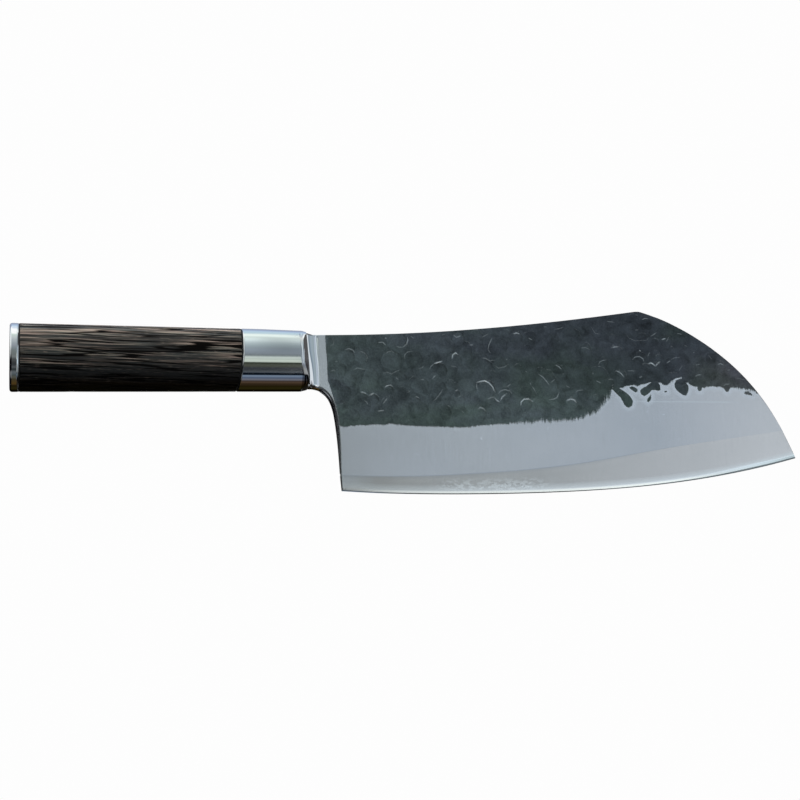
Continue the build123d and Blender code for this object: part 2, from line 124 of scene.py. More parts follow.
# hammer marks: x, z, radius, depth, lip
DENTS = [(127.9, 7.9, 1.7, .05, .2), (135.1, 1.4, 2.9, .07, .5), (140.8, 1.5, 2.7, .06, .4), (156.0, 8.1, 4.0, .08, .45),
         (153.4, 0.1, 4.2, .08, .35), (163.1, 0.0, 3.8, .07, .3), (173.3, -3.6, 3.4, .09, .9), (181.4, 1.4, 1.9, .08, .9),
         (171.4, -6.3, 1.7, .06, .6), (152.0, -12.2, 1.9, .07, .8), (140.8, -15.7, 2.3, .07, .9), (145.0, -16.5, 2.5, .07, .8),
         (163.3, -16.8, 1.7, .05, .5), (180.8, -13.7, 1.5, .05, .7), (142.0, -18.6, 2.5, .06, .4),
         (183.0, -20.4, 1.5, .04, .3), (182.5, 9.8, 2.6, .07, .7), (187.9, 6.4, 1.7, .06, .6), (132.1, -4.9, 2.1, .05, .3),
         (144.5, -6.9, 3.4, .06, .3), (156.8, -6.7, 2.5, .06, .3), (145.4, 7.5, 2.5, .06, .5), (176.5, 7.1, 3.9, .07, .2),
         (168.1, 11.3, 2.6, .06, .3), (193.3, -12.2, 4.1, .11, 1.0), (201.5, -13.9, 3.0, .08, .5), (210.7, -17.9, 2.6, .09, 1.0),
         (219.9, -10.2, 5.3, .12, .25), (230.5, -17.5, 2.7, .09, .9), (235.2, -14.1, 3.1, .06, .3), (190.3, -21.6, 3.0, .07, .6),
         (198.9, 7.1, 4.4, .07, .5), (207.6, 11.1, 2.6, .07, .7), (214.1, 9.0, 1.8, .06, .5), (225.3, -2.9, 2.2, .06, .7),
         (238.3, 5.0, 2.7, .06, .4), (251.8, 5.7, 2.7, .08, .9), (245.8, 0.8, 2.0, .07, .5), (253.3, -5.7, 2.7, .08, .8),
         (263.0, 3.2, 2.3, .09, .6), (268.6, -1.1, 2.3, .09, 1.0), (265.0, -1.8, 2.2, .08, .9), (275.9, -0.1, 2.7, .07, .5),
         (288.5, -4.4, 3.7, .06, .4), (299.4, -1.2, 2.8, .07, .6), (279.9, 3.4, 4.1, .06, .3), (274.9, 10.4, 2.8, .07, .6),
         (266.3, 18.2, 2.7, .07, .5), (200.0, -1.1, 3.1, .05, .2), (220.1, 5.6, 4.4, .05, .15), (231.6, 12.3, 3.6, .05, .15),
         (245.2, 14.8, 3.6, .06, .25), (256.5, 15.8, 2.7, .07, .4), (225.6, -13.7, 2.7, .07, .4), (206.3, -5.3, 3.5, .06, .35),
         (213.1, -0.9, 3.1, .04, .15), (237.2, -5.0, 3.6, .05, .2), (247.2, -9.2, 2.7, .07, .5), (262.0, -4.7, 2.7, .07, .5),
         (285.5, 4.4, 3.2, .06, .3), (289.8, 1.4, 2.3, .05, .3), (294.0, -4.3, 2.8, .05, .3), (305.5, -6.4, 2.3, .05, .3),
         (164.7, -20.5, 3.4, .05, .2), (175.3, -21.7, 3.0, .05, .2), (156.2, -20.6, 3.0, .04, .15), (136.1, -22.8, 2.9, .04, .2),
         (201.1, -21.6, 2.6, .05, .3), (216.4, -20.6, 2.6, .05, .3), (133.5, -13.2, 2.5, .05, .3), (165.1, -10.0, 3.4, .05, .3),
         (135.7, -8.2, 2.5, .05, .2), (191.4, 0.9, 3.5, .05, .25), (184.6, -4.3, 3.0, .05, .3)]
# raised crests of the hammer marks, drawn with a painted highlight: strength, then points
STROKES = [
    (0.9, (189.4, -8.7), (191.1, -8.2), (193.0, -7.9), (194.9, -8.9), (196.2, -10.5), (197.2, -12.6)),
    (0.35, (189.5, -8.9), (189.3, -10.3), (189.7, -12.0)),
    (0.8, (179.3, 1.4), (179.6, 2.9), (180.9, 3.9), (181.9, 3.1)),
    (0.85, (171.6, -0.8), (173.3, -0.3), (175.0, 0.2)), (0.3, (169.4, -3.4), (170.1, -2.0), (171.6, -0.8)),
    (0.6, (150.2, -11.1), (151.2, -10.4), (152.6, -10.2), (153.6, -10.9)),
    (0.7, (140.0, -13.2), (141.1, -13.3), (142.3, -13.9)), (0.75, (143.6, -14.5), (144.8, -13.9), (145.6, -13.6)),
    (0.25, (145.6, -13.6), (146.8, -14.2), (147.8, -15.4)), (0.6, (146.9, -21.2), (148.2, -20.9), (149.5, -20.8)),
    (0.5, (149.3, -17.9), (150.2, -16.7), (151.1, -15.7)), (0.4, (141.4, -16.6), (142.3, -17.3), (142.8, -18.3)),
    (0.45, (163.1, -14.7), (164.5, -15.6)),
    (0.35, (170.4, -16.8), (171.6, -15.9), (172.6, -14.7), (173.9, -13.1), (174.8, -11.6)),
    (0.5, (180.1, -12.4), (181.2, -11.8)), (0.45, (193.8, -15.7), (195.5, -15.0), (197.0, -14.8)),
    (0.65, (196.9, -15.2), (197.8, -16.2), (199.1, -17.0)),
    (0.5, (189.5, -20.0), (190.5, -19.3), (191.9, -19.8), (192.9, -20.9)),
    (0.45, (134.0, 4.5), (135.7, 5.0), (137.3, 4.4), (138.0, 3.2)),
    (0.3, (139.6, 3.5), (141.0, 3.8), (142.6, 2.9), (143.3, 1.4), (142.7, -0.5)),
    (0.3, (137.2, -4.0), (138.9, -3.1), (140.7, -3.5), (142.7, -3.8)),
    (0.3, (151.0, 3.1), (152.2, 3.9), (153.6, 4.2), (154.6, 3.5)),
    (0.5, (158.4, 5.9), (159.9, 7.1), (160.7, 8.8), (160.5, 10.3)), (0.3, (155.6, 6.3), (157.0, 5.9), (158.4, 5.9)),
    (0.3, (158.9, 1.1), (159.2, 2.8), (160.5, 4.0), (162.7, 4.3)),
    (0.25, (164.4, -3.2), (166.1, -2.8), (167.2, -1.8)), (0.5, (148.0, 7.7), (150.0, 7.9), (151.2, 6.7)),
    (0.6, (151.0, 9.6), (151.6, 9.7)), (0.55, (181.5, 10.4), (183.5, 11.3)), (0.35, (180.4, 11.5), (181.8, 10.4)),
    (0.4, (187.2, 7.3), (188.6, 7.4)), (0.4, (195.1, 5.4), (195.5, 7.4), (197.0, 10.4)),
    (0.3, (195.1, 5.4), (196.1, 3.9)), (0.35, (192.2, 1.8), (194.0, 1.6), (195.4, 0.7), (197.9, 1.0)),
    (0.25, (178.4, -1.7), (181.2, -2.3)), (0.4, (170.5, -7.3), (171.4, -6.3), (172.0, -5.9)),
    (0.3, (149.4, -5.2), (151.4, -4.8), (153.3, -5.5), (155.2, -4.3), (157.2, -3.6)),
    (0.2, (160.6, -7.9), (162.7, -5.8)), (0.25, (127.8, 5.9), (129.2, 6.7), (129.5, 7.8), (128.6, 9.3)),
    (0.3, (127.6, -4.7), (129.1, -4.1), (129.9, -4.8)), (0.2, (130.6, -18.6), (133.8, -17.3)),
    (0.35, (155.0, -6.9), (156.1, -7.9)), (0.25, (176.2, -18.4), (177.7, -19.0)),
    (0.25, (180.9, -15.1), (182.4, -14.3)), (0.3, (165.4, -7.7), (167.0, -7.7)),
    (0.25, (129.5, -0.4), (131.0, -0.6)), (0.3, (159.8, -12.5), (160.5, -12.8), (159.5, -13.4)),
    (0.25, (175.3, 11.4), (176.7, 11.7)), (0.3, (161.9, 10.7), (163.3, 9.8)), (0.3, (192.5, 10.7), (195.5, 12.2)),
    (0.25, (182.5, -20.8), (183.4, -21.7)), (0.6, (206.4, 12.4), (207.9, 12.9), (209.2, 12.4)),
    (0.35, (213.1, 10.7), (214.9, 9.8)), (0.45, (202.8, 1.3), (203.3, 1.2)),
    (0.25, (197.4, -1.2), (199.3, -2.4), (201.8, -1.9), (203.9, -0.6)),
    (0.45, (224.4, -0.8), (225.7, -1.4), (226.9, -2.6)),
    (0.45, (216.6, -4.8), (218.5, -6.0), (219.9, -7.7), (221.1, -9.4)), (0.3, (221.7, -8.5), (224.0, -6.8)),
    (0.45, (220.6, -15.8), (222.8, -15.5), (224.4, -14.6), (225.3, -12.5)),
    (0.3, (213.3, -9.8), (214.3, -11.3), (215.3, -13.3)),
    (0.75, (208.1, -18.3), (208.4, -16.8), (209.7, -15.6), (211.6, -15.5), (213.4, -16.6)),
    (0.4, (198.5, -13.4), (199.8, -12.1), (201.7, -11.6), (203.6, -12.1), (204.6, -13.4)),
    (0.6, (199.4, -16.3), (200.3, -14.7), (202.2, -13.3)), (0.35, (202.6, -10.5), (204.4, -8.9)),
    (0.75, (228.3, -16.1), (230.2, -15.4), (231.7, -15.7), (232.7, -16.8)),
    (0.25, (232.2, -12.7), (233.9, -11.6), (236.5, -11.5)),
    (0.35, (243.5, -0.5), (244.1, 0.8), (245.7, 1.5), (247.3, 1.8)),
    (0.55, (250.0, 7.2), (251.6, 7.5), (253.0, 7.6)), (0.25, (236.0, 6.8), (238.1, 7.0), (240.1, 6.2)),
    (0.6, (262.4, 6.1), (262.9, 5.8)), (0.45, (258.9, 1.9), (260.3, 3.2), (262.3, 3.5), (263.8, 2.5), (264.3, 0.9)),
    (0.55, (251.0, -3.0), (252.8, -3.5), (254.0, -4.7), (254.7, -5.7)), (0.3, (256.5, -2.9), (260.0, -2.9)),
    (0.3, (261.6, -5.7), (262.8, -5.1)), (0.4, (242.0, -7.4), (244.1, -8.3)), (0.3, (247.5, -6.7), (249.7, -6.7)),
    (0.3, (228.5, -9.7), (230.1, -10.5)), (0.3, (211.0, -3.6), (211.6, -4.0)), (0.3, (212.7, -8.4), (213.1, -9.5)),
    (0.35, (190.2, -19.0), (191.7, -19.5), (192.9, -20.8)), (0.3, (224.6, 14.6), (227.2, 15.1), (228.8, 15.7)),
    (0.3, (219.8, 15.7), (221.4, 15.8)),
    (0.2, (257.0, 13.4), (257.9, 11.5), (260.8, 10.3), (265.9, 10.6), (267.5, 12.1)),
    (0.3, (248.4, 18.7), (251.9, 18.3)), (0.25, (241.2, 16.1), (243.0, 13.2), (245.0, 13.0)),
    (0.3, (240.8, -3.8), (240.8, -4.8)), (0.25, (197.0, -0.5), (194.2, 1.4), (192.8, 2.1)),
    (0.45, (264.6, 19.7), (265.9, 20.3), (267.3, 20.2)), (0.4, (267.9, 12.4), (269.2, 13.0), (270.7, 14.1)),
    (0.65, (273.0, 11.0), (274.1, 11.4), (274.7, 11.5)), (0.3, (275.0, 10.1), (275.8, 11.2), (276.2, 12.4)),
    (0.3, (280.1, 14.0), (282.6, 13.4)), (0.55, (262.6, 6.3), (262.9, 5.7)),
    (0.3, (266.0, 3.4), (266.6, 4.7), (267.1, 5.2)), (0.8, (265.9, 0.2), (267.3, 0.7), (268.4, 0.1), (269.3, -0.7)),
    (0.7, (269.3, -0.7), (270.6, 0.7), (271.5, 1.3)), (0.5, (274.5, 0.7), (275.7, 1.5), (276.3, 1.7)),
    (0.25, (276.5, 2.2), (278.3, 3.1), (281.2, 3.4)), (0.4, (287.0, -5.1), (288.3, -4.4), (290.1, -4.2)),
    (0.4, (297.9, 0.3), (299.4, 0.8), (300.9, 0.1)), (0.3, (302.1, -2.2), (303.7, -1.9)),
    (0.3, (286.9, 5.6), (287.7, 5.5)), (0.35, (299.8, -9.2), (301.0, -8.3), (302.8, -8.2)),
    (0.25, (279.7, -2.9), (281.1, -1.0), (281.6, -0.1)), (0.3, (287.7, -0.0), (289.9, 0.4)),
    (0.3, (261.8, -5.9), (263.0, -5.4)), (0.25, (260.9, 15.0), (262.9, 15.2)),
    (0.25, (305.7, -5.4), (308.1, -5.9), (310.5, -6.3)), (0.25, (283.1, 8.8), (284.5, 8.1)),
    (0.2, (293.9, 4.7), (295.6, 2.4)),
]


# =====================================================================
# Small numeric helpers
# =====================================================================
def natural_spline(t, y):
    """Second derivatives of the natural cubic through (t, y)."""
    n = len(t)
    h = np.diff(t)
    a = np.zeros((n, n))
    r = np.zeros(n)
    a[0, 0] = a[-1, -1] = 1
    for i in range(1, n - 1):
        a[i, i - 1], a[i, i], a[i, i + 1] = h[i - 1], 2 * (h[i - 1] + h[i]), h[i]
        r[i] = 6 * ((y[i + 1] - y[i]) / h[i] - (y[i] - y[i - 1]) / h[i - 1])
    return np.linalg.solve(a, r)


def spline_at(t, y, m, x):
    x = np.asarray(x, float)
    i = np.clip(np.searchsorted(t, x) - 1, 0, len(t) - 2)
    h = t[i + 1] - t[i]
    a, b = (t[i + 1] - x) / h, (x - t[i]) / h
    inside = a * y[i] + b * y[i + 1] + ((a**3 - a) * m[i] + (b**3 - b) * m[i + 1]) * h * h / 6
    return inside


def fn(table):
    """Smooth z(x) through a table; straight beyond its ends."""
    p = np.array(table, float)
    t, y = p[:, 0], p[:, 1]
    m = natural_spline(t, y)

    def f(x):
        x = np.asarray(x, float)
        xc = np.clip(x, t[0], t[-1])
        v = spline_at(t, y, m, xc)
        s0 = (y[1] - y[0]) / (t[1] - t[0])
        s1 = (y[-1] - y[-2]) / (t[-1] - t[-2])
        return v + np.where(x < t[0], (x - t[0]) * s0, 0) + np.where(x > t[-1], (x - t[-1]) * s1, 0)

    return f


def dense(points, n=900):
    """Dense polyline along a smooth curve through points."""
    p = np.array(points, float)
    s = np.concatenate([[0], np.cumsum(np.hypot(*np.diff(p, axis=0).T))])
    mx, mz = natural_spline(s, p[:, 0]), natural_spline(s, p[:, 1])
    q = np.linspace(0, s[-1], n)
    return np.stack([spline_at(s, p[:, 0], mx, q), spline_at(s, p[:, 1], mz, q)], 1)


def hermite(p0, p1, t0, t1, n=40):
    p0, p1, t0, t1 = map(np.asarray, (p0, p1, t0, t1))
    d = np.hypot(*(p1 - p0))
    u = np.linspace(0, 1, n)[:, None]
    return ((2 * u**3 - 3 * u**2 + 1) * p0 + (u**3 - 2 * u**2 + u) * t0 * d
            + (-2 * u**3 + 3 * u**2) * p1 + (u**3 - u**2) * t1 * d)


class Path:
    """Polyline read by arc-length fraction."""

    def __init__(self, pts):
        self.p = np.asarray(pts, float)
        seg = np.hypot(*np.diff(self.p, axis=0).T)
        keep = np.concatenate([[True], seg > 1e-9])
        self.p = self.p[keep]
        seg = np.hypot(*np.diff(self.p, axis=0).T)
        self.s = np.concatenate([[0], np.cumsum(seg)])
        self.length = self.s[-1]

    def at(self, f):
        q = np.asarray(f, float) * self.length
        return np.stack([np.interp(q, self.s, self.p[:, 0]), np.interp(q, self.s, self.p[:, 1])], -1)


def smooth(x, a, b):
    t = np.clip((x - a) / (b - a), 0, 1)
    return t * t * (3 - 2 * t)


class Noise:
    """Seeded 2-D gradient noise, about -1 to 1."""

    def __init__(self, seed):
        r = np.random.RandomState(seed)
        self.p = r.permutation(256)
        self.p = np.concatenate([self.p, self.p])
        a = r.rand(256) * 2 * math.pi
        self.g = np.stack([np.cos(a), np.sin(a)], 1)

    def __call__(self, x, y):
        xi, yi = np.floor(x).astype(int), np.floor(y).astype(int)
        xf, yf = x - xi, y - yi
        u, v = xf**3 * (xf * (xf * 6 - 15) + 10), yf**3 * (yf * (yf * 6 - 15) + 10)

        def corner(i, j):
            h = self.p[(self.p[(xi + i) & 255] + (yi + j)) & 255]
            g = self.g[h]
            return g[..., 0] * (xf - i) + g[..., 1] * (yf - j)

        a = corner(0, 0) + u * (corner(1, 0) - corner(0, 0))
        b = corner(0, 1) + u * (corner(1, 1) - corner(0, 1))
        return (a + v * (b - a)) * 1.5

    def fbm(self, x, y, octaves=4, gain=0.5):
        out, amp = 0.0, 1.0
        for o in range(octaves):
            out = out + amp * self(x * 2**o + 17.3 * o, y * 2**o + 5.1 * o)
            amp *= gain
        return out


# =====================================================================
# Mesh building
# =====================================================================
class Builder:
    def __init__(self):
        self.v, self.f, self.n = [], [], 0

    def add(self, pts):
        """Adds points (mm) and returns their indices in the same shape."""
        pts = np.asarray(pts, float)
        flat = pts.reshape(-1, 3)
        idx = np.arange(self.n, self.n + len(flat)).reshape(pts.shape[:-1])
        self.v.append(flat)
        self.n += len(flat)
        return idx

    def quads(self, grid):
        a, b, c, d = grid[:-1, :-1], grid[1:, :-1], grid[1:, 1:], grid[:-1, 1:]
        self.f += np.stack([a, b, c, d], -1).reshape(-1, 4).tolist()

    def face(self, *loop):
        self.f.append([int(i) for i in loop])

    def verts(self):
        return np.concatenate(self.v)

    def object(self, name, angle=32.0, attrs=None):
        co = self.verts() * MM
        me = bpy.data.meshes.new(name)
        me.from_pydata(co.tolist(), [], self.f)
        me.update()
        if attrs:
            for key, values in attrs.items():
                values = np.asarray(values, np.float32)
                if values.ndim == 1:
                    at = me.attributes.new(key, "FLOAT", "POINT")
                    at.data.foreach_set("value", values)
                else:
                    at = me.attributes.new(key, "FLOAT_VECTOR", "POINT")
                    at.data.foreach_set("vector", values.ravel())
        bm = bmesh.new()
        bm.from_mesh(me)
        loose = [v for v in bm.verts if not v.link_faces]
        bmesh.ops.delete(bm, geom=loose, context="VERTS")
        bmesh.ops.recalc_face_normals(bm, faces=bm.faces)
        vol = bm.calc_volume(signed=True)
        if vol < 0:
            bmesh.ops.reverse_faces(bm, faces=bm.faces)
        open_edges = sum(1 for e in bm.edges if len(e.link_faces) != 2)
        bm.to_mesh(me)
        bm.free()
        me.polygons.foreach_set("use_smooth", [True] * len(me.polygons))
        me.set_sharp_from_angle(angle=math.radians(angle))
        ob = bpy.data.objects.new(name, me)
        bpy.context.scene.collection.objects.link(ob)
        print(f"{name}: {len(me.vertices)} vertices, {len(me.polygons)} faces, open edges {open_edges}")
        return ob


# =====================================================================
# Blade
# =====================================================================
lam_z, ground_z, edge_z = fn(LAM), fn(GROUND), fn(EDGE)
_se, _sr = np.array(SCALE_EDGE), np.array(SCALE_REAR)


def face_half(x, z):
    return SPINE_H0 - TAPER_X * (x - REF_X) + TAPER_Z * (z - REF_Z)


def hone_up(x):
    """Height of the honed strip; it widens on the belly near the tip."""
    return 1.35 + 0.75 * np.exp(-(((x - 311.0) / 17.0) ** 2))


HONE_HALF = 0.35


def bevel_half(x, z):
    """Half thickness on the ground bevel: through the honed shoulder, the
    lamination line and the line where it meets the flat face."""
    ze = edge_z(x)
    z0, z1, z2 = ze + hone_up(x), np.maximum(lam_z(x), ze + hone_up(x) + 1.0), ground_z(x)
    z2 = np.maximum(z2, z1 + 2.0)
    h0, h1, h2 = HONE_HALF, CORE, face_half(x, z2)
    s0, s1 = (h1 - h0) / (z1 - z0), (h2 - h1) / (z2 - z1)
    m = 0.5 * (s0 + s1)
    a, b = z2 - z1, z1 - z0
    up = np.clip((z - z1) / a, 0, None)
    u1 = np.clip(up, 0, 1)
    hu = ((2 * u1**3 - 3 * u1**2 + 1) * h1 + (u1**3 - 2 * u1**2 + u1) * m * a
          + (-2 * u1**3 + 3 * u1**2) * h2 + (u1**3 - u1**2) * s1 * a) + np.clip(up - 1, 0, None) * s1 * a
    d1 = np.clip((z - z0) / b, 0, 1)
    hd = ((2 * d1**3 - 3 * d1**2 + 1) * h0 + (d1**3 - 2 * d1**2 + d1) * (s0 * 1.5) * b
          + (-2 * d1**3 + 3 * d1**2) * h1 + (d1**3 - d1**2) * m * b)
    return np.where(z > z1, hu, hd)


def polyline_distance(x, z, pts):
    """Distance to a polyline and the fraction along it of the nearest point."""
    best, where = np.full(x.shape, 1e9), np.zeros(x.shape)
    n = len(pts) - 1
    for i in range(n):
        (ax, az), (bx, bz) = pts[i], pts[i + 1]
        ux, uz = bx - ax, bz - az
        t = np.clip(((x - ax) * ux + (z - az) * uz) / (ux * ux + uz * uz + 1e-12), 0, 1)
        d = np.hypot(x - ax - t * ux, z - az - t * uz)
        hit = d < best
        best = np.where(hit, d, best)
        where = np.where(hit, (i + t) / n, where)
    return best, where


def polygon_distance(x, z, pts):
    """Signed distance to a closed outline, positive inside."""
    loop = list(pts) + [pts[0]]
    d, _ = polyline_distance(x, z, loop)
    inside = np.zeros(x.shape, bool)
    for (ax, az), (bx, bz) in zip(loop[:-1], loop[1:]):
        if az == bz:
            continue
        cross = ((az > z) != (bz > z)) & (x < (bx - ax) * (z - az) / (bz - az) + ax)
        inside ^= cross
    return np.where(inside, d, -d)


def near_box(x, z, pts, margin):
    px, pz = [p[0] for p in pts], [p[1] for p in pts]
    return ((x > min(px) - margin) & (x < max(px) + margin) & (z > min(pz) - margin) & (z < max(pz) + margin))


def moved(pts, r):
    """The same outline carried to another place, turned and resized."""
    p = np.array(pts, float)
    c = p.mean(0)
    a, k = r.uniform(-0.5, 0.5), r.uniform(0.7, 1.25)
    rot = np.array([[math.cos(a), -math.sin(a)], [math.sin(a), math.cos(a)]])
    q = (p - c) * [-k, k] @ rot.T + c + [r.uniform(-12, 6), r.uniform(-1.0, 0.6)]
    return [tuple(v) for v in q]


def scale_distance(x, z, side):
    """Signed distance (mm) to the border of the black scale, positive in
    it, and how far the grinding has feathered that border."""
    shift = 0.0 if side < 0 else 3.0
    zb = np.interp(x + shift, _se[:, 0], _se[:, 1])
    if side > 0:
        n = Noise(71)
        zb = zb + 0.9 * n(x * 0.13, x * 0 + 3.3) + 0.35 * n(x * 0.6, x * 0 + 9.1)
    slope = np.abs(np.interp(x + 1.0, _se[:, 0], _se[:, 1]) - np.interp(x - 1.0, _se[:, 0], _se[:, 1])) / 2.0
    d = (z - zb) / np.sqrt(1 + slope**2)
    r = np.random.RandomState(5)
    if side < 0:
        for pts in NOTCHES:
            m = near_box(x, z, pts, 3.0)
            d[m] = np.minimum(d[m], -polygon_distance(x[m], z[m], pts))
    hair = (0.30 + 0.70 * smooth(x, 196, 214) * (1 - smooth(x, 243, 250))
            + 0.35 * smooth(x, 303, 307)) * np.ones_like(z)
    hair = np.where((x > 241) & (x < 250) & (z > -19.5), 1.25, hair)
    crisp = np.zeros_like(x)
    for pts in ISLANDS:
        if side > 0:
            pts = moved(pts, r)
        m = near_box(x, z, pts, 4.0)
        e = polygon_distance(x[m], z[m], pts)
        crisp[m] = np.maximum(crisp[m], smooth(e, -0.9, -0.2))
        d[m] = np.maximum(d[m], e)
    hair = hair * (1 - 0.85 * crisp)
    rear = x - np.interp(z, _sr[:, 0], _sr[:, 1])
    hair = np.where(rear < d, 0.12, hair)
    return np.minimum(d, rear), hair


def hammer(x, z, side):
    """Depth of the hammered relief (mm, positive into the steel), a
    painted highlight on the lips of the marks, strongest on their upper side
    (0 to 1), and a tone that tells the marks apart."""
    seed = 11 if side < 0 else 29
    r = np.random.RandomState(seed)
    marks = []
    for _ in range(190):
        mx, mz = r.uniform(124, 322), r.uniform(-30, 24)
        marks.append((mx, mz, r.uniform(1.3, 3.6), r.uniform(0.02, 0.05), r.uniform(0.02, 0.22)))
    if side < 0:
        marks += [(mx, mz, rad, dep, lip * 0.22) for mx, mz, rad, dep, lip in DENTS]
    else:
        for mx, mz, rad, dep, lip in DENTS:
            marks.append((mx + r.uniform(-8, 8), mz + r.uniform(-5, 5), rad * r.uniform(0.8, 1.2), dep, lip * r.uniform(0.3, 1.1)))
    relief, crest_glint, tone = np.zeros_like(x), np.zeros_like(x), np.zeros_like(x)
    wob = Noise(seed + 3)
    for k, (mx, mz, rad, dep, lip) in enumerate(marks):
        near = (np.abs(x - mx) < rad + 2.2) & (np.abs(z - mz) < rad + 2.2)
        sx, lean, shade = r.uniform(0.85, 1.15), r.uniform(-0.6, 0.6), r.uniform(-1, 1)
        facing, w = math.pi / 2 + r.uniform(-0.6, 0.6), 0.30 + 0.12 * r.rand()
        if not near.any():
            continue
        px, pz = x[near], z[near]
        c, s = math.cos(lean), math.sin(lean)
        dx, dz = px - mx, pz - mz
        a, b = (dx * c + dz * s) / sx, (-dx * s + dz * c) * sx
        rho = np.sqrt(a * a + b * b) + 0.10 * rad * wob(px * 0.45 + k, pz * 0.45)
        ang = np.arctan2(dz, dx)
        inside = 1 - smooth(rho, rad - w, rad + w * 0.6)
        bowl = dep * (0.60 + 0.40 * np.clip(1 - (rho / rad) ** 2, 0, 1))
        arc = np.clip(np.cos(ang - facing), 0, 1) ** 1.2
        ridge = np.exp(-(((rho - rad - 0.10) / 0.30) ** 2))
        broken = 0.6 + 0.5 * wob(px * 0.9 + 40 + k, pz * 0.9)
        relief[near] = relief[near] * (1 - 0.8 * inside) + bowl * inside - (0.010 + 0.045 * lip * arc) * ridge
        # painted highlight: the lip is made pale, mostly on the side the mark faces up
        crest_glint[near] = np.maximum(crest_glint[near] * (1 - inside), lip * ridge * (0.25 + 0.75 * arc) * np.clip(broken, 0, 1))
        tone[near] = tone[near] * (1 - inside) + shade * inside
    if side < 0:
        for strength, *pts in STROKES:
            near = near_box(x, z, pts, 1.2)
            if not near.any():
                continue
            dist, along = polyline_distance(x[near], z[near], pts)
            taper = np.clip(3.2 * along * (1 - along) + 0.35, 0, 1)
            width = 0.16 + 0.10 * strength
            ridge = np.exp(-((dist / width) ** 2)) * taper
            # painted highlight along each drawn crest
            crest_glint[near] = np.maximum(crest_glint[near], strength * ridge)
            relief[near] -= 0.05 * strength * np.exp(-((dist / (width * 1.3)) ** 2)) * taper
    n1, n2 = Noise(seed + 5), Noise(seed + 7)
    relief = relief + 0.030 * n1.fbm(x / 9.0, z / 9.0, 3) + 0.012 * n2.fbm(x / 1.5, z / 1.5, 2)
    return relief, np.clip(crest_glint, 0, 1), tone


def blade_half(x, z, side):
    """Outer half thickness of the blade and its surface marks."""
    a, b = face_half(x, z), bevel_half(x, z)
    k = 0.02
    soft_min = 0.5 * (a + b - np.sqrt((a - b) ** 2 + k * k))
    blend = smooth(z, lam_z(x) + 0.5, lam_z(x) + 6.0)
    base = b * (1 - blend) + soft_min * blend
    d, hair = scale_distance(x, z, side)
    relief, crest_glint, tone = hammer(x, z, side)
    on = smooth(d, -0.05, 0.75)
    h = base - np.maximum(relief + 0.02, -0.035) * on
    return h, d, hair, crest_glint * smooth(d, 0.1, 0.5), tone * smooth(d, 0.1, 0.6)


choil = dense(CHOIL)
choil_of_z = choil[np.argsort(choil[:, 1])]
top_line = dense(TOP)
front_line = dense(FRONT)
t_end = top_line[-1] - top_line[-3]
t_end /= np.hypot(*t_end)
f_start = front_line[2] - front_line[0]
f_start /= np.hypot(*f_start)
crest_line = hermite(top_line[-1], front_line[0], t_end, f_start)
mid = len(crest_line) // 2
top_path = Path(np.vstack([[JOINT_X, 10.62], top_line[top_line[:, 0] > JOINT_X + 0.02], crest_line[1:mid + 1]]))
front_all = np.vstack([crest_line[mid:], front_line[1:]])[::-1]      # tip upwards
edge_path = Path(dense(EDGE))

i_lam = np.argmin(np.abs(front_all[:, 1] - lam_z(front_all[:, 0])))
lam_front = front_all[i_lam]
lam_heel_z = float(lam_z(130.6))
lam_heel = np.array([np.interp(lam_heel_z, choil_of_z[:, 1], choil_of_z[:, 0]), lam_heel_z])
right_upper = front_all[i_lam:]
lx = np.linspace(lam_heel[0], lam_front[0], 900)
lam_path = Path(np.stack([lx, np.where(lx < lam_front[0], lam_z(lx), lam_front[1])], 1))
lam_path.p[0], lam_path.p[-1] = lam_heel, lam_front

NU, N_BEVEL, N_FACE = 700, 20, 156
NV = N_BEVEL + N_FACE
edge_off = np.array([0, 0.03, 0.09, 0.18, 0.30])
choil_off = np.array([0, 0.015, 0.06, 0.13, 0.23, 0.36, 0.52, 0.72])


def levels(n, length, low, high):
    """Fractions 0..1 with extra fine steps by the ends asked for."""
    a = low / length if low is not None else np.array([0.0])
    b = 1 - edge_off[::-1] / length if high else np.array([1.0])
    m = np.linspace(a[-1], b[0], n - len(a) - len(b) + 2)
    return np.concatenate([a[:-1], m, b[1:]])


U = levels(NU, 185.0, choil_off, True)
# few rows over the smooth bevel, most of them over the hammered face
SPLIT = 0.30
V = np.concatenate([np.linspace(0, SPLIT, N_BEVEL + 1)[:-1],
                    SPLIT + (1 - SPLIT) * levels(N_FACE, 46.0, None, True)])


def coons(bottom, top, left, right):
    """Transfinite grid between four boundary point rows: [u, v]."""
    u = U[:, None, None]
    nv = left.shape[0]
    v = np.linspace(0, 1, nv) if nv != len(V) else V
    v = v[None, :, None]
    b, t = bottom[:, None, :], top[:, None, :]
    l, r = left[None, :, :], right[None, :, :]
    return ((1 - v) * b + v * t + (1 - u) * l + u * r
            - ((1 - u) * (1 - v) * bottom[0] + u * (1 - v) * bottom[-1] + (1 - u) * v * top[0] + u * v * top[-1]))


# left boundary by height, right boundary by arc length
lz = lam_heel_z + (10.62 - lam_heel_z) * V
# rows drawn together where the choil rounding turns on to the neck
zz = np.linspace(lam_heel_z, 10.62, 2001)
dens = np.cumsum(1 + 2.2 * np.exp(-(((zz + 11.7) / 1.3) ** 2)))
lz = np.interp((lz - lam_heel_z) / (10.62 - lam_heel_z), (dens - dens[0]) / (dens[-1] - dens[0]), zz)
r7, r6 = int(np.argmin(np.abs(lz - STUB_Z0))), int(np.argmin(np.abs(lz - STUB_Z1)))
lz[r7], lz[r6] = STUB_Z0, STUB_Z1
rj = int(np.argmin(np.abs(lz - JOINT_LOW)))
lz[rj] = JOINT_LOW
left_pts = np.stack([np.where(lz >= JOINT_LOW, JOINT_X, np.interp(lz, choil_of_z[:, 1], choil_of_z[:, 0])), lz], 1)


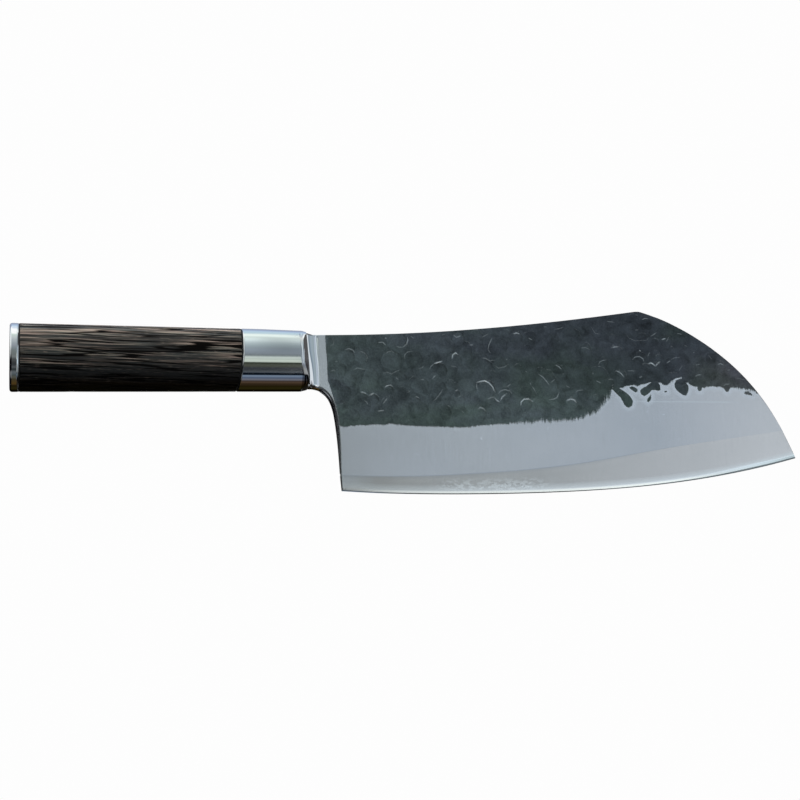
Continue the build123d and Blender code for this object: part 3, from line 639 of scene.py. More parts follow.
def choil_radius(z):
    """Half thickness of the blade behind the choil, rounded right over."""
    xc = np.interp(z, choil_of_z[:, 1], choil_of_z[:, 0]) + 0.8
    return np.maximum(np.minimum(bevel_half(xc, z), face_half(xc, z)), CORE * 1.02)


def tuck(z):
    """How far the cladding stops short of the choil line, on the rounding."""
    rc = choil_radius(z)
    return (rc - np.sqrt(rc * rc - CORE * CORE)) * (1 - smooth(z, -16.0, -13.5))


right_pts = Path(right_upper).at(V)
right_pts[0] = lam_front
lam_pts, top_pts = lam_path.at(U), top_path.at(U)
left_pts[0], top_pts[0] = lam_heel, left_pts[-1]
lam_pts[0], lam_pts[-1] = lam_heel, lam_front
top_pts[-1] = right_pts[-1]
clad_left = left_pts + np.stack([tuck(lz), 0 * lz], 1)
clad_lam = lam_pts + np.stack([float(tuck(lam_heel_z)) * (1 - U), 0 * U], 1)
clad_lam[:-1, 1] = lam_z(clad_lam[:-1, 0])
clad_lam[0] = clad_left[0]
upper = coons(clad_lam, top_pts, clad_left, right_pts)

# lower, exposed part of the core: shoulder row up to the lamination row
edge_pts = edge_path.at(U)
sh_pts = edge_pts + np.stack([0 * U, hone_up(edge_pts[:, 0])], 1)
heel_sh = np.array([np.interp(sh_pts[0, 1], choil_of_z[:, 1], choil_of_z[:, 0]), sh_pts[0, 1]])
i_sh = np.argmin(np.abs(front_all[:, 1] - (edge_pts[-1, 1] + 1.5)))
sh_pts[0], sh_pts[-1] = heel_sh, front_all[i_sh]
blend_end = smooth(U, 0.93, 1.0)[:, None]
sh_pts = sh_pts * (1 - blend_end) + (sh_pts + (front_all[i_sh] - (edge_pts[-1] + [0, hone_up(edge_pts[-1, 0])]))) * blend_end
sh_pts[-1] = front_all[i_sh]
NL = 26
lv = np.linspace(0, 1, NL)
ll_z = heel_sh[1] + (lam_heel_z - heel_sh[1]) * lv
low_left = np.stack([np.interp(ll_z, choil_of_z[:, 1], choil_of_z[:, 0]), ll_z], 1)
low_left[0], low_left[-1] = heel_sh, lam_heel
low_right = Path(front_all[i_sh:i_lam + 1]).at(lv)
low_right[0], low_right[-1] = sh_pts[-1], lam_front
lower = coons(sh_pts, lam_pts, low_left, low_right)
# from the very edge: a fine steep facet, then the honed strip
HONE_AT, HONE_H = [0.0, 0.34, 0.42, 0.56, 0.78, 1.0], [0.016, 0.235, 0.249, 0.272, 0.310, HONE_HALF]
NH = len(HONE_AT) - 1
hone = np.stack([edge_pts + (sh_pts - edge_pts) * f for f in HONE_AT], 1)   # [u, k]

ROLL = 0.26
# the choil and the underside of the neck are rounded right over
choil_line = [tuple(q) for q in dense(CHOIL, 160)]


def choil_distance(x, z):
    """Distance to the choil line, exact near it and large further off."""
    d = np.full(x.shape, 9.0)
    m = (x < 138.0) & (z < -8.0)
    d[m], _ = polyline_distance(x[m], z[m], choil_line)
    return d


def roll(d, r):
    r = np.maximum(r, 1e-6)
    d = np.clip(d, 0, r)
    return r - np.sqrt(np.maximum(0, r * r - (r - d) ** 2))


def clad(side, name):
    b = Builder()
    X, Z = upper[..., 0], upper[..., 1]
    h, d, hair, crest_glint, tone = blade_half(X, Z, side)
    h[:, 0] = CORE
    h = np.maximum(h, CORE + 0.004 * smooth(np.arange(NV), 0, 3)[None, :])
    width = np.hypot(*(upper[-1] - upper[0]).T)[None, :]
    height = np.hypot(*(upper[:, -1] - upper[:, 0]).T)[:, None]
    r = np.minimum(ROLL, np.maximum(h - CORE, 0) * 0.8)
    dr, dt = (1 - U[:, None]) * width, (1 - V[None, :]) * height
    eased = roll(np.minimum(dr, dt), r)
    dc = choil_distance(X, Z)
    flat = face_half(X, Z)
    big = np.minimum(h, flat)
    over = roll(dc, big)
    # painted highlight: a bright line along the eased edges
    edge_glint = 1 - smooth(np.minimum(dr, dt), 0.10, 0.34)
    bared = 1 - smooth(dc / big, 0.96, 1.14)
    h = np.maximum(h - np.maximum(eased, over), CORE + 0.003)
    h[:, 0] = CORE
    # where the blade joins the bolster the two are ground flush
    flush = smooth(X, JOINT_X, JOINT_X + 1.5)
    h = (flat - over) * (1 - flush) + h * flush
    h = np.where(dt < ROLL, np.minimum(h, flat - roll(dt, r)), h)
    h[:, 1:] = np.maximum(h[:, 1:], CORE + 0.003)
    P = np.stack([X, side * h, Z], -1)
    g = b.add(P)
    b.quads(g)
    inner = {}
    pts = []

    def inn(key, xz):
        inner[key] = b.n
        b.add(np.array([[xz[0], side * CORE, xz[1]]]))
        return inner[key]

    left_in = [g[0, 0]] + [inn(("l", k), upper[0, k]) if not (r7 < k < r6) else None for k in range(1, NV)]
    top_in = [left_in[-1]] + [inn(("t", i), upper[i, -1]) for i in range(1, NU)]
    right_in = [g[-1, 0]] + [inn(("r", k), upper[-1, k]) for k in range(1, NV - 1)] + [top_in[-1]]
    s = STUB_H
    a1, b1, a2, b2, c2, d2 = b.add(np.array([
        [JOINT_X, side * s, STUB_Z0], [JOINT_X, side * s, STUB_Z1], [STUB_X0, side * s, STUB_Z0],
        [STUB_X0, side * s, STUB_Z1], [STUB_X0, side * CORE, STUB_Z0], [STUB_X0, side * CORE, STUB_Z1]]))
    for k in range(NV - 1):
        if r7 <= k < r6:
            continue
        o0, o1, i0, i1 = g[0, k], g[0, k + 1], left_in[k], left_in[k + 1]
        if k == 0:
            b.face(o0, o1, i1)
        elif k + 1 == r7:
            b.face(o0, o1, a1, i1, i0)
        elif k == r6:
            b.face(o0, o1, i1, i0, b1)
        else:
            b.face(o0, o1, i1, i0)
    b.face(*g[0, r7:r6 + 1], b1, a1)
    b.face(a1, b1, b2, a2)
    b.face(b1, left_in[r6], d2, b2)
    b.face(a1, a2, c2, left_in[r7])
    b.face(a2, b2, d2, c2)
    for i in range(NU - 1):
        b.face(g[i, -1], g[i + 1, -1], top_in[i + 1], top_in[i])
    for k in range(NV - 1):
        if k == 0:
            b.face(g[-1, 1], g[-1, 0], right_in[1])
        else:
            b.face(g[-1, k + 1], g[-1, k], right_in[k], right_in[k + 1])
    loop = (list(g[:, 0]) + right_in[1:] + top_in[::-1][1:]
            + [left_in[k] for k in range(NV - 2, r6 - 1, -1)] + [d2, c2] + [left_in[k] for k in range(r7, 0, -1)])
    b.face(*loop)
    n = b.n
    dist, shine, edge_w, hairy, shade, lam_d = (np.full(n, -3.0), np.zeros(n), np.zeros(n), np.full(n, 0.3),
                                                np.zeros(n), np.full(n, 20.0))
    bare = np.zeros(n)
    dist[g.ravel()] = d.ravel()
    shine[g.ravel()] = crest_glint.ravel()
    edge_w[g.ravel()] = edge_glint.ravel()
    bare[g.ravel()] = bared.ravel()
    hairy[g.ravel()] = hair.ravel()
    shade[g.ravel()] = tone.ravel()
    lam_d[g.ravel()] = (Z - lam_z(X)).ravel()
    for key, i in inner.items():
        if key[0] in ("t", "r"):
            u = upper[key[1], -1] if key[0] == "t" else upper[-1, key[1]]
            dist[i] = 1.5 if u[0] > 126.6 and u[1] > -10.5 else -3.0
        edge_w[i] = 0.0
    return b.object(name, 40, {"scale_d": dist, "crest_glint": shine, "edge_glint": edge_w, "hair": hairy, "tone": shade, "lam_d": lam_d,
                               "bare": bare})


def core_piece(name):
    b = Builder()
    sides = {}
    for side in (-1, 1):
        X, Z = lower[..., 0], lower[..., 1]
        h = bevel_half(X, Z)
        h[:, -1] = CORE
        width = np.hypot(*(lower[-1] - lower[0]).T)[None, :]
        fade = 1 - smooth(np.linspace(0, 1, NL), 0.75, 1.0)[None, :]
        r = np.minimum(ROLL, h * 0.45) * fade
        h = h - np.maximum(roll((1 - U[:, None]) * width, r), roll(U[:, None] * width, 0.96 * h))
        hh = np.array(HONE_H)[None, :] * (h[:, :1] / HONE_HALF)
        gh = b.add(np.stack([hone[:, :NH, 0], side * hh[:, :NH], hone[:, :NH, 1]], -1))
        gl = b.add(np.stack([X, side * h, Z], -1))
        grid = np.concatenate([gh, gl], 1)
        b.quads(grid)
        up_l = b.add(np.stack([clad_left[1:, 0], np.full(NV - 1, side * CORE), clad_left[1:, 1]], 1))
        up_t = b.add(np.stack([top_pts[1:, 0], np.full(NU - 1, side * CORE), top_pts[1:, 1]], 1))
        up_r = b.add(np.stack([right_pts[1:-1, 0], np.full(NV - 2, side * CORE), right_pts[1:-1, 1]], 1))
        c2, d2 = b.add(np.array([[STUB_X0, side * CORE, STUB_Z0], [STUB_X0, side * CORE, STUB_Z1]]))
        left_loop = list(up_l[:r7]) + [c2, d2] + list(up_l[r6 - 1:])
        perimeter = list(grid[0]) + left_loop + list(up_t) + list(up_r[::-1]) + list(grid[-1][::-1])
        hidden = list(grid[:, -1]) + list(up_r) + list(up_t[::-1]) + left_loop[::-1]
        b.face(*hidden)
        sides[side] = (perimeter, grid)
    p, q = sides[-1][0], sides[1][0]
    # the back of the core carries the choil rounding between the claddings
    n0 = NH + NL
    round_r = choil_radius(left_pts[1:rj + 1, 1])
    fade = 1 - smooth(left_pts[1:rj + 1, 1], -16.0, -13.5)
    belly = []
    for y in (-0.50, -0.34, 0.0, 0.34, 0.50):
        off = (round_r - np.sqrt(round_r**2 - y * y)) * fade
        belly.append(b.add(np.stack([left_pts[1:rj + 1, 0] + off, np.full(rj, y), left_pts[1:rj + 1, 1]], 1)))
    belly = np.stack(belly)
    for i in range(len(p) - 1):
        k = i - n0
        if k == -1:
            b.face(p[i], p[i + 1], *belly[:, 0], q[i + 1], q[i])
        elif 0 <= k < rj - 1:
            rows = [[p[i], p[i + 1]]] + [[m[k], m[k + 1]] for m in belly] + [[q[i], q[i + 1]]]
            for (a0, a1), (c0, c1) in zip(rows[:-1], rows[1:]):
                b.face(a0, a1, c1, c0)
        elif k == rj - 1:
            b.face(p[i], p[i + 1], q[i + 1], q[i], *belly[::-1, k])
        else:
            b.face(p[i], p[i + 1], q[i + 1], q[i])
    e0, e1 = sides[-1][1][:, 0], sides[1][1][:, 0]
    for i in range(NU - 1):
        b.face(e0[i], e0[i + 1], e1[i + 1], e1[i])
    n = b.n
    v = b.verts()
    zone = np.zeros(n)
    for side in (-1, 1):
        grid = sides[side][1]
        zone[grid[:, :NH].ravel()] = 1.0
        zone[grid[:, NH]] = 0.6
    up = np.zeros(n)
    up[:] = v[:, 2] - edge_z(v[:, 0])
    return b.object(name, 40, {"honed": zone, "above_edge": up, "lam_d": lam_z(v[:, 0]) - v[:, 2]})


right_clad = clad(-1, "blade_cladding_right")
left_clad = clad(1, "blade_cladding_left")
blade_core = core_piece("blade_core")

# =====================================================================
# Handle pieces: stacks of rings
# =====================================================================
NR = 360
PHI = (np.arange(NR) + 0.5) / NR * 2 * math.pi


def set_ring(n):
    """Number of points on each ring built from here on."""
    global NR, PHI
    NR = n
    PHI = (np.arange(NR) + 0.5) / NR * 2 * math.pi


def half_h(x, inset=0.0):
    return HANDLE_HALF_H - HANDLE_TAPER * x - inset


def half_w(x, inset=0.0):
    return HANDLE_ASPECT * (HANDLE_HALF_H - HANDLE_TAPER * x) - inset


def oval_ring(x, a, b, corner=0.89, n=POWER, zc=0.0):
    """Superellipse ring; its points are spaced so that four of them sit at
    the same places on every ring."""
    yc = corner * b
    zc_ = a * (1 - corner**n) ** (1 / n)
    dy, dz = yc * np.cos(PHI) * math.sqrt(2), zc_ * np.sin(PHI) * math.sqrt(2)
    g = (np.abs(dy / b) ** n + np.abs(dz / a) ** n) ** (1 / n)
    return np.stack([np.full(NR, x), dy / g, zc + dz / g], 1)


def circle_ring(x, r):
    return np.stack([np.full(NR, x), r * np.cos(PHI), r * np.sin(PHI)], 1)


def rect_ring(x, hw, z0, z1):
    hh, zc = (z1 - z0) / 2, (z1 + z0) / 2
    c, s = np.cos(PHI), np.sin(PHI)
    g = np.maximum(np.abs(c), np.abs(s))
    return np.stack([np.full(NR, x), hw * c / g, zc + hh * s / g], 1)


RAKE_Z = [-12.6, -11.0, -8.2, -5.0, -2.0, 1.0, 12.6]
RAKE_X = [-2.15, -1.90, -1.50, -1.10, -0.75, -0.45, -0.40]


def raked(rings):
    """The joint between wood and ferrule leans back towards the underside;
    everything near it is carried along so the pieces still fit."""
    out = []
    for g in rings:
        g = np.array(g, float)
        w = smooth(g[..., 0], 70.0, 90.5) * (1 - smooth(g[..., 0], 92.4, 103.0))
        g[..., 0] += np.interp(g[..., 2], RAKE_Z, RAKE_X) * w
        out.append(g)
    return out


def stack(name, rings, closed, attrs=None, angle=32.0):
    b = Builder()
    rings = raked(rings)
    idx = b.add(np.stack(rings))
    idx2 = np.concatenate([idx, idx[:, :1]], 1)
    b.quads(idx2)
    if closed:
        for j in range(NR):
            k = (j + 1) % NR
            b.face(idx[-1, j], idx[0, j], idx[0, k], idx[-1, k])
    else:
        b.face(*idx[0])
        b.face(*idx[-1][::-1])
    made = None
    if attrs:
        made = attrs(idx, b)
    return b.object(name, angle, made)


def around(rings):
    """Distance round each ring (mm), for grain that follows the surface."""
    p = np.stack(rings)
    d = np.linalg.norm(np.roll(p, -1, 1) - p, axis=-1)
    return np.concatenate([np.zeros((len(p), 1)), np.cumsum(d, 1)[:, :-1]], 1)


# ---- end cap
TENON_H, TENON_W = half_h(FERRULE_X0) - 2.20, half_w(FERRULE_X0) - 2.20
rings = [oval_ring(0.0, half_h(0, CAP_ROUND + k), half_w(0, CAP_ROUND + k)) for k in (7.6, 5.5, 3.0, 1.0, 0.3)]
for i in range(0, 9):
    a = math.pi / 2 * i / 8
    x = CAP_ROUND * (1 - math.cos(a))
    rings.append(oval_ring(x, half_h(x, CAP_ROUND * (1 - math.sin(a))), half_w(x, CAP_ROUND * (1 - math.sin(a)))))
for x in (1.4, 2.0, 2.6, CAP_T - CAP_CHAMFER - 0.06):
    rings.append(oval_ring(x, half_h(x), half_w(x)))
rings.append(oval_ring(CAP_T - CAP_CHAMFER, half_h(2.9, 0.006), half_w(2.9, 0.006)))
rings.append(oval_ring(CAP_T - CAP_CHAMFER + 0.06, half_h(2.9, 0.020), half_w(2.9, 0.020)))
rings.append(oval_ring(CAP_T - 0.07, half_h(3.3, 0.115), half_w(3.3, 0.115)))
rings.append(oval_ring(CAP_T, half_h(3.4, 0.17), half_w(3.4, 0.17)))
rings += [circle_ring(CAP_T, SPIGOT_R), circle_ring(SPIGOT_X1 - 0.3, SPIGOT_R), circle_ring(SPIGOT_X1, SPIGOT_R - 0.3)]
end_cap = stack("end_cap_polished", rings, False, angle=25)


# ---- liners
def liner(name, x0, x1, hole):
    e = 0.06
    outer = [oval_ring(x0, half_h(x0, LINER_RECESS + e), half_w(x0, LINER_RECESS + e)),
             oval_ring(x0 + e, half_h(x0, LINER_RECESS), half_w(x0, LINER_RECESS)),
             oval_ring(x1 - e, half_h(x1, LINER_RECESS), half_w(x1, LINER_RECESS)),
             oval_ring(x1, half_h(x1, LINER_RECESS + e), half_w(x1, LINER_RECESS + e))]
    return stack(name, outer + [hole(x1), hole(x0)], True)


rear_liner = liner("fibre_liner_rear", CAP_T, WOOD_X0, lambda x: circle_ring(x, COUNTERBORE))
front_liner = liner("fibre_liner_front", WOOD_X1, FERRULE_X0, lambda x: oval_ring(x, TENON_H, TENON_W))

# ---- wood sleeve, with the grain cut into its surface
set_ring(760)
NW = 116
grain_a, grain_b, grain_c, grain_d = Noise(101), Noise(137), Noise(151), Noise(163)
xs = np.concatenate([[WOOD_X0, WOOD_X0 + 0.05, WOOD_X0 + 0.14], np.linspace(WOOD_X0 + 0.3, WOOD_X1 - 0.3, NW),
                     [WOOD_X1 - 0.14, WOOD_X1 - 0.05, WOOD_X1]])
ease = [0.12, 0.05, 0.01] + [0.0] * NW + [0.01, 0.05, 0.12]
outer = [oval_ring(x, half_h(x, e), half_w(x, e)) for x, e in zip(xs, ease)]
P = np.stack(outer)
S = around(outer)
perim = np.linalg.norm(np.roll(P, -1, 1) - P, axis=-1).sum(1).mean()
X, Z = P[..., 0], P[..., 2]
RIGHT = P[..., 1] < 0


def ring_noise(n, fx, fs, drift=1.0, at=0.0):
    """Noise stretched along the handle; fs is features per mm around it.
    The seam is hidden on the left side, cross-faded over a few mm."""
    sway = drift * (0.9 * grain_c(X * 0.014, S * 0.03 + at) + 0.22 * grain_c(X * 0.07, S * 0.25 + at + 31))
    q = S + sway
    w = smooth(S, perim - 3.0, perim)
    return n(X * fx + at, q * fs + at) * (1 - w) + n(X * fx + at, (q - perim) * fs + at) * w


broad = ring_noise(grain_a, 0.016, 0.36, 1.0, 3.0)
streak = ring_noise(grain_b, 0.026, 1.05, 1.0, 11.0)
fine = ring_noise(grain_d, 0.045, 2.1, 1.0, 23.0)
thread = ring_noise(grain_a, 0.075, 3.3, 1.0, 41.0)
dash = ring_noise(grain_b, 0.33, 2.6, 1.0, 57.0)
grove = ring_noise(grain_c, 0.030, 1.5, 1.0, 77.0)
sway = 0.35 * grain_c(X * 0.02, X * 0 + 7.7) + 0.15 * grain_c(X * 0.08, X * 0 + 1.1)
# a few broad bands of lighter and darker growth along each side
side_bands = ((4.4, 0.62, 0.30, 1), (6.4, 0.9, -0.13, 1), (9.6, 1.0, 0.13, 1), (2.3, 0.6, -0.08, 1), (-4.6, 2.4, -0.10, 1),
              (1.6, 0.7, 0.26, 0), (-5.2, 1.1, 0.15, 0), (5.8, 0.9, -0.12, 0), (9.0, 0.8, 0.16, 0), (-1.6, 1.0, -0.10, 0))
bands = np.zeros_like(X)
for bz, bw, amount, right in side_bands:
    on = RIGHT if right else ~RIGHT
    bands += np.where(on, amount * np.exp(-(((Z - bz - sway * 1.6) / bw) ** 2)), 0) * (0.75 + 0.5 * broad)
lines_a = ring_noise(grain_a, 0.021, 0.42, 1.0, 93.0)
lines_b = ring_noise(grain_d, 0.027, 0.60, 1.0, 115.0)
gate_a = smooth(ring_noise(grain_b, 0.030, 0.35, 1.0, 131.0), -0.25, 0.25)
gate_b = smooth(ring_noise(grain_c, 0.040, 0.50, 1.0, 149.0), -0.15, 0.30)
# painted shade: the lower third of the handle is made darker, and its light streaks fade out there
painted_low_shade = smooth(-Z, 3.6, 7.0)
tone_w = 0.50 + 0.20 * broad + 0.22 * streak + 0.24 * fine + 0.14 * thread + bands - 0.30 * painted_low_shade
tone_w = tone_w + 0.16 * smooth(fine, 0.18, 0.42) * smooth(streak, -0.1, 0.3) * (1 - painted_low_shade)
groove = (np.clip(-grove - 0.22, 0, 1) * 1.8 + 0.95 * (1 - smooth(np.abs(lines_a), 0.04, 0.17)) * gate_a
          + 0.85 * (1 - smooth(np.abs(lines_b), 0.05, 0.20)) * gate_b)
flecks = np.clip(dash - 0.34, 0, 1) * 2.4 * np.clip(0.6 + broad, 0, 1)
ends = smooth(X, WOOD_X0 + 0.1, WOOD_X0 + 0.8) * (1 - smooth(X, WOOD_X1 - 0.8, WOOD_X1 - 0.1))
depth = (0.10 * np.clip(groove, 0, 1.2) - 0.03 * np.clip(tone_w - 0.5, -0.5, 0.5) + 0.02) * ends
depth = np.clip(depth, 0, 0.2)
nrm = np.zeros_like(P)
q = POWER - 1
ey = np.sign(P[..., 1]) * np.abs(P[..., 1]) ** q / half_w(X) ** POWER
ez = np.sign(Z) * np.abs(Z) ** q / half_h(X) ** POWER
ln = np.sqrt(ey**2 + ez**2)
nrm[..., 1], nrm[..., 2] = ey / ln, ez / ln
P = P - nrm * depth[..., None]
tail = [oval_ring(WOOD_X1, TENON_H - TENON_FIT, TENON_W - TENON_FIT),
        oval_ring(TENON_X1 - 0.3, TENON_H - TENON_FIT, TENON_W - TENON_FIT),
        oval_ring(TENON_X1, TENON_H - TENON_FIT - 0.3, TENON_W - TENON_FIT - 0.3),
        circle_ring(TENON_X1, WOOD_BORE), circle_ring(COUNTERBORE_X1, WOOD_BORE),
        circle_ring(COUNTERBORE_X1, COUNTERBORE), circle_ring(WOOD_X0, COUNTERBORE)]


def wood_attrs(idx, b):
    def padded(a, fill=0.0):
        return np.concatenate([a.ravel(), np.full(b.n - a.size, fill)])

    uv = np.zeros((b.n, 3))
    uv[:, 0] = b.verts()[:, 0]
    uv[:, 1] = padded(S)
    return {"grain_xyz": uv, "groove": padded(np.clip(groove, 0, 1.2)), "wood_tone": padded(tone_w, 0.35),
            "fleck": padded(np.clip(flecks, 0, 1))}


handle = stack("handle_wood_sleeve", list(P) + tail, True, wood_attrs, angle=60)
set_ring(360)

# ---- bolster
top_at = fn([(x, z) for x, z in TOP])
bot_at = fn(sorted(CHOIL[9:]))


w_t = face_half(NECK_X, 0.0)


def scoop_w(x, z):
    """Half width in the scoops at the sides of the neck: a steep shoulder
    behind the chamfer, then a long arc that ends sooner near the top."""
    d = np.clip(NECK_X + np.interp(z, [-7.0, -2.0, 3.0, 9.0], [0.0, -0.25, -0.75, -1.0]) - x, 0, None)
    r = NECK_R * np.interp(z, [-7.0, -2.0, 3.0, 9.0], [1.0, 0.96, 0.86, 0.80])
    w = w_t + r - np.sqrt(r * r - d * d)
    t = min(1.0, max(0.0, (x - CHAMFER_X1) / 0.46))
    return w + (CHAMFER_W - 0.05 - w) * (1 - t) ** 3


def end_lean(rings):
    """The end of the chamfer leans forward towards the underside."""
    for g in rings:
        w = smooth(g[:, 0], 116.3, 117.8) * (1 - smooth(g[:, 0], 118.5, 121.0))
        g[:, 0] += np.interp(g[:, 2], [-10.5, -8.4, -5.6, -1.3, 2.7, 7.6, 11.0], [0.60, 0.50, 0.33, 0.08, -0.15, -0.36, -0.42]) * w
    return rings


def neck_ring(x, w0, half_b, n_pow, q=36.0):
    """Section of the neck: flat sides, slightly crowned top, underside
    rounded right over like the choil it runs into."""
    zt, zb = float(top_at(x)), float(bot_at(x))
    t = (x - CHAMFER_X1) / (JOINT_X - CHAMFER_X1)
    zt = min(zt, CHAMFER_H + 3 * t)
    zb = max(zb, -CHAMFER_LOW - 3 * t)
    zc, H = (zt + zb) / 2, (zt - zb) / 2
    g0 = (1 - min(0.999, (w0 / half_b)) ** n_pow) ** (1 / n_pow) * H
    dy0, dz0 = w0 * np.cos(PHI) * math.sqrt(2), g0 * np.sin(PHI) * math.sqrt(2)
    s = np.ones(NR)
    for _ in range(6):
        z = zc + dz0 * s
        w = scoop_w(x, z) + TAPER_Z * z
        gs = np.abs(dy0) / w
        gt = (np.abs(dy0 / half_b) ** n_pow + np.abs(dz0 / H) ** n_pow) ** (1 / n_pow)
        g = np.maximum(gs, gt) * (1 + (np.minimum(gs, gt) / np.maximum(gs, gt)) ** q) ** (1 / q)
        s = 1 / g
    big = face_half(x, zb) * float(smooth(t, -0.4, 0.45))
    lean = (float(bot_at(x + 0.05)) - float(bot_at(x - 0.05))) / 0.1
    lean = 1 / math.sqrt(1 + lean * lean)
    lo_s, hi_s = np.zeros(NR), s.copy()
    for _ in range(30):
        m_s = 0.5 * (lo_s + hi_s)
        z = zc + dz0 * m_s
        inside = np.abs(dy0 * m_s) <= scoop_w(x, z) + TAPER_Z * z - roll((z - zb) * lean, big)
        lo_s, hi_s = np.where(inside, m_s, lo_s), np.where(inside, hi_s, m_s)
    s = np.where(dz0 < 0, np.minimum(s, lo_s), s)
    return np.stack([np.full(NR, x), dy0 * s, zc + dz0 * s], 1)


def ferrule_ring(x, inset=0.0):
    return oval_ring(x, half_h(x, inset), half_w(x, inset))


rings = [circle_ring(ROD_END, ROD_R * 0.5), circle_ring(ROD_END, ROD_R), circle_ring(SOCKET_X1, ROD_R),
         oval_ring(SOCKET_X1, TENON_H, TENON_W), oval_ring(FERRULE_X0, TENON_H, TENON_W),
         ferrule_ring(FERRULE_X0, FERRULE_RIM), ferrule_ring(FERRULE_X0 + 0.03, FERRULE_RIM - 0.06)]
rings += [ferrule_ring(FERRULE_X0 + 0.29, 0.045), ferrule_ring(FERRULE_X0 + 0.36, 0.012), ferrule_ring(FERRULE_X0 + 0.45, 0.0)]
def crease_shift(z):
    """The crease of the chamfer runs forward towards the underside."""
    return 1.5 * smooth(-z, 1.0, 9.0) * (1 - smooth(-z, 10.8, 12.4)) - 0.25 * smooth(z, 3.0, 9.0)


def eased_top(g, x):
    """The top of the ferrule falls a little towards the front."""
    up_side = g[:, 2] > 0
    g[up_side, 2] *= 1 - 0.022 * float(smooth(x, 96.0, 117.0))
    return g


def front_ring(x, f=0.0):
    """Ring of the ferrule's front, at f of the way down the chamfer."""
    g = oval_ring(x, a0 + (CHAMFER_H / 0.978 - a0) * f, b0 + (CHAMFER_W - b0) * f, n=POWER + 0.9 * f)
    g = eased_top(g, max(x, 117.0) if f > 0 else x)
    g[g[:, 2] < 0, 2] *= 1 - 0.022 * f
    low = (CHAMFER_LOW - CHAMFER_H) * f * smooth(-g[:, 2], 0, 11)
    g[:, 2] -= low
    if x > FERRULE_X1 - 4.0:
        g[:, 0] += crease_shift(g[:, 2]) * (1 - f) * float(smooth(x, FERRULE_X1 - 4.0, FERRULE_X1 - 0.2))
    return g


a0, b0 = half_h(FERRULE_X1), half_w(FERRULE_X1)
for x in np.linspace(FERRULE_X0 + 0.8, FERRULE_X1 - 0.72, 40):
    g = eased_top(ferrule_ring(x), x)
    if x > FERRULE_X1 - 4.0:
        g[:, 0] += crease_shift(g[:, 2]) * float(smooth(x, FERRULE_X1 - 4.0, FERRULE_X1 - 0.2))
    rings.append(g)
# rounded crease, then the front chamfer
L = CHAMFER_X1 - FERRULE_X1
for off, drop in ((-0.62, 0.0), (-0.56, 0.0015), (-0.50, 0.005), (-0.04, 0.034), (0.04, 0.050), (0.11, 0.080), (0.19, 0.124)):
    rings.append(front_ring(FERRULE_X1 + off, drop / (b0 - CHAMFER_W)))
for f in (0.18, 0.25, 0.4, 0.55, 0.7, 0.85):
    rings.append(front_ring(FERRULE_X1 + L * f, f))
f = 1 - 0.16 / L
rings.append(front_ring(FERRULE_X1 + L * f, f))
rings.append(front_ring(CHAMFER_X1 - 0.05, 0.99))
g = front_ring(CHAMFER_X1 - 0.01, 1.0)
g[:, 1:] *= 0.993
rings.append(g)
for x in [117.93, 117.97, 118.02, 118.08, 118.15, 118.22, 118.29] + list(np.linspace(118.36, NECK_X, 26)):
    t = (x - CHAMFER_X1) / (JOINT_X - CHAMFER_X1)
    rings.append(neck_ring(x, float(scoop_w(x, 0.0)), CHAMFER_W + 0.6 * t + 10 * t * t, POWER + 2.0 * t))
for x in (NECK_X + 0.02, JOINT_X):
    t = (x - CHAMFER_X1) / (JOINT_X - CHAMFER_X1)
    rings.append(neck_ring(x, face_half(x, 0.0), CHAMFER_W + 0.6 * t + 10 * t * t, POWER + 2.0 * t))
fit = 0.03
rings += [rect_ring(JOINT_X, STUB_H + fit, STUB_Z0 - fit, STUB_Z1 + fit),
          rect_ring(STUB_X0 - 0.2, STUB_H + fit, STUB_Z0 - fit, STUB_Z1 + fit),
          rect_ring(STUB_X0 - 0.2, STUB_H * 0.5, STUB_Z0 * 0.5, STUB_Z1 * 0.5)]


bolster = stack("bolster_polished", end_lean(rings), False, angle=28)


# =====================================================================
# Materials
# =====================================================================
def srgb(r, g, b):
    out = []
    for c in (r, g, b):
        c /= 255.0
        out.append(c / 12.92 if c <= 0.04045 else ((c + 0.055) / 1.055) ** 2.4)
    return (*out, 1.0)


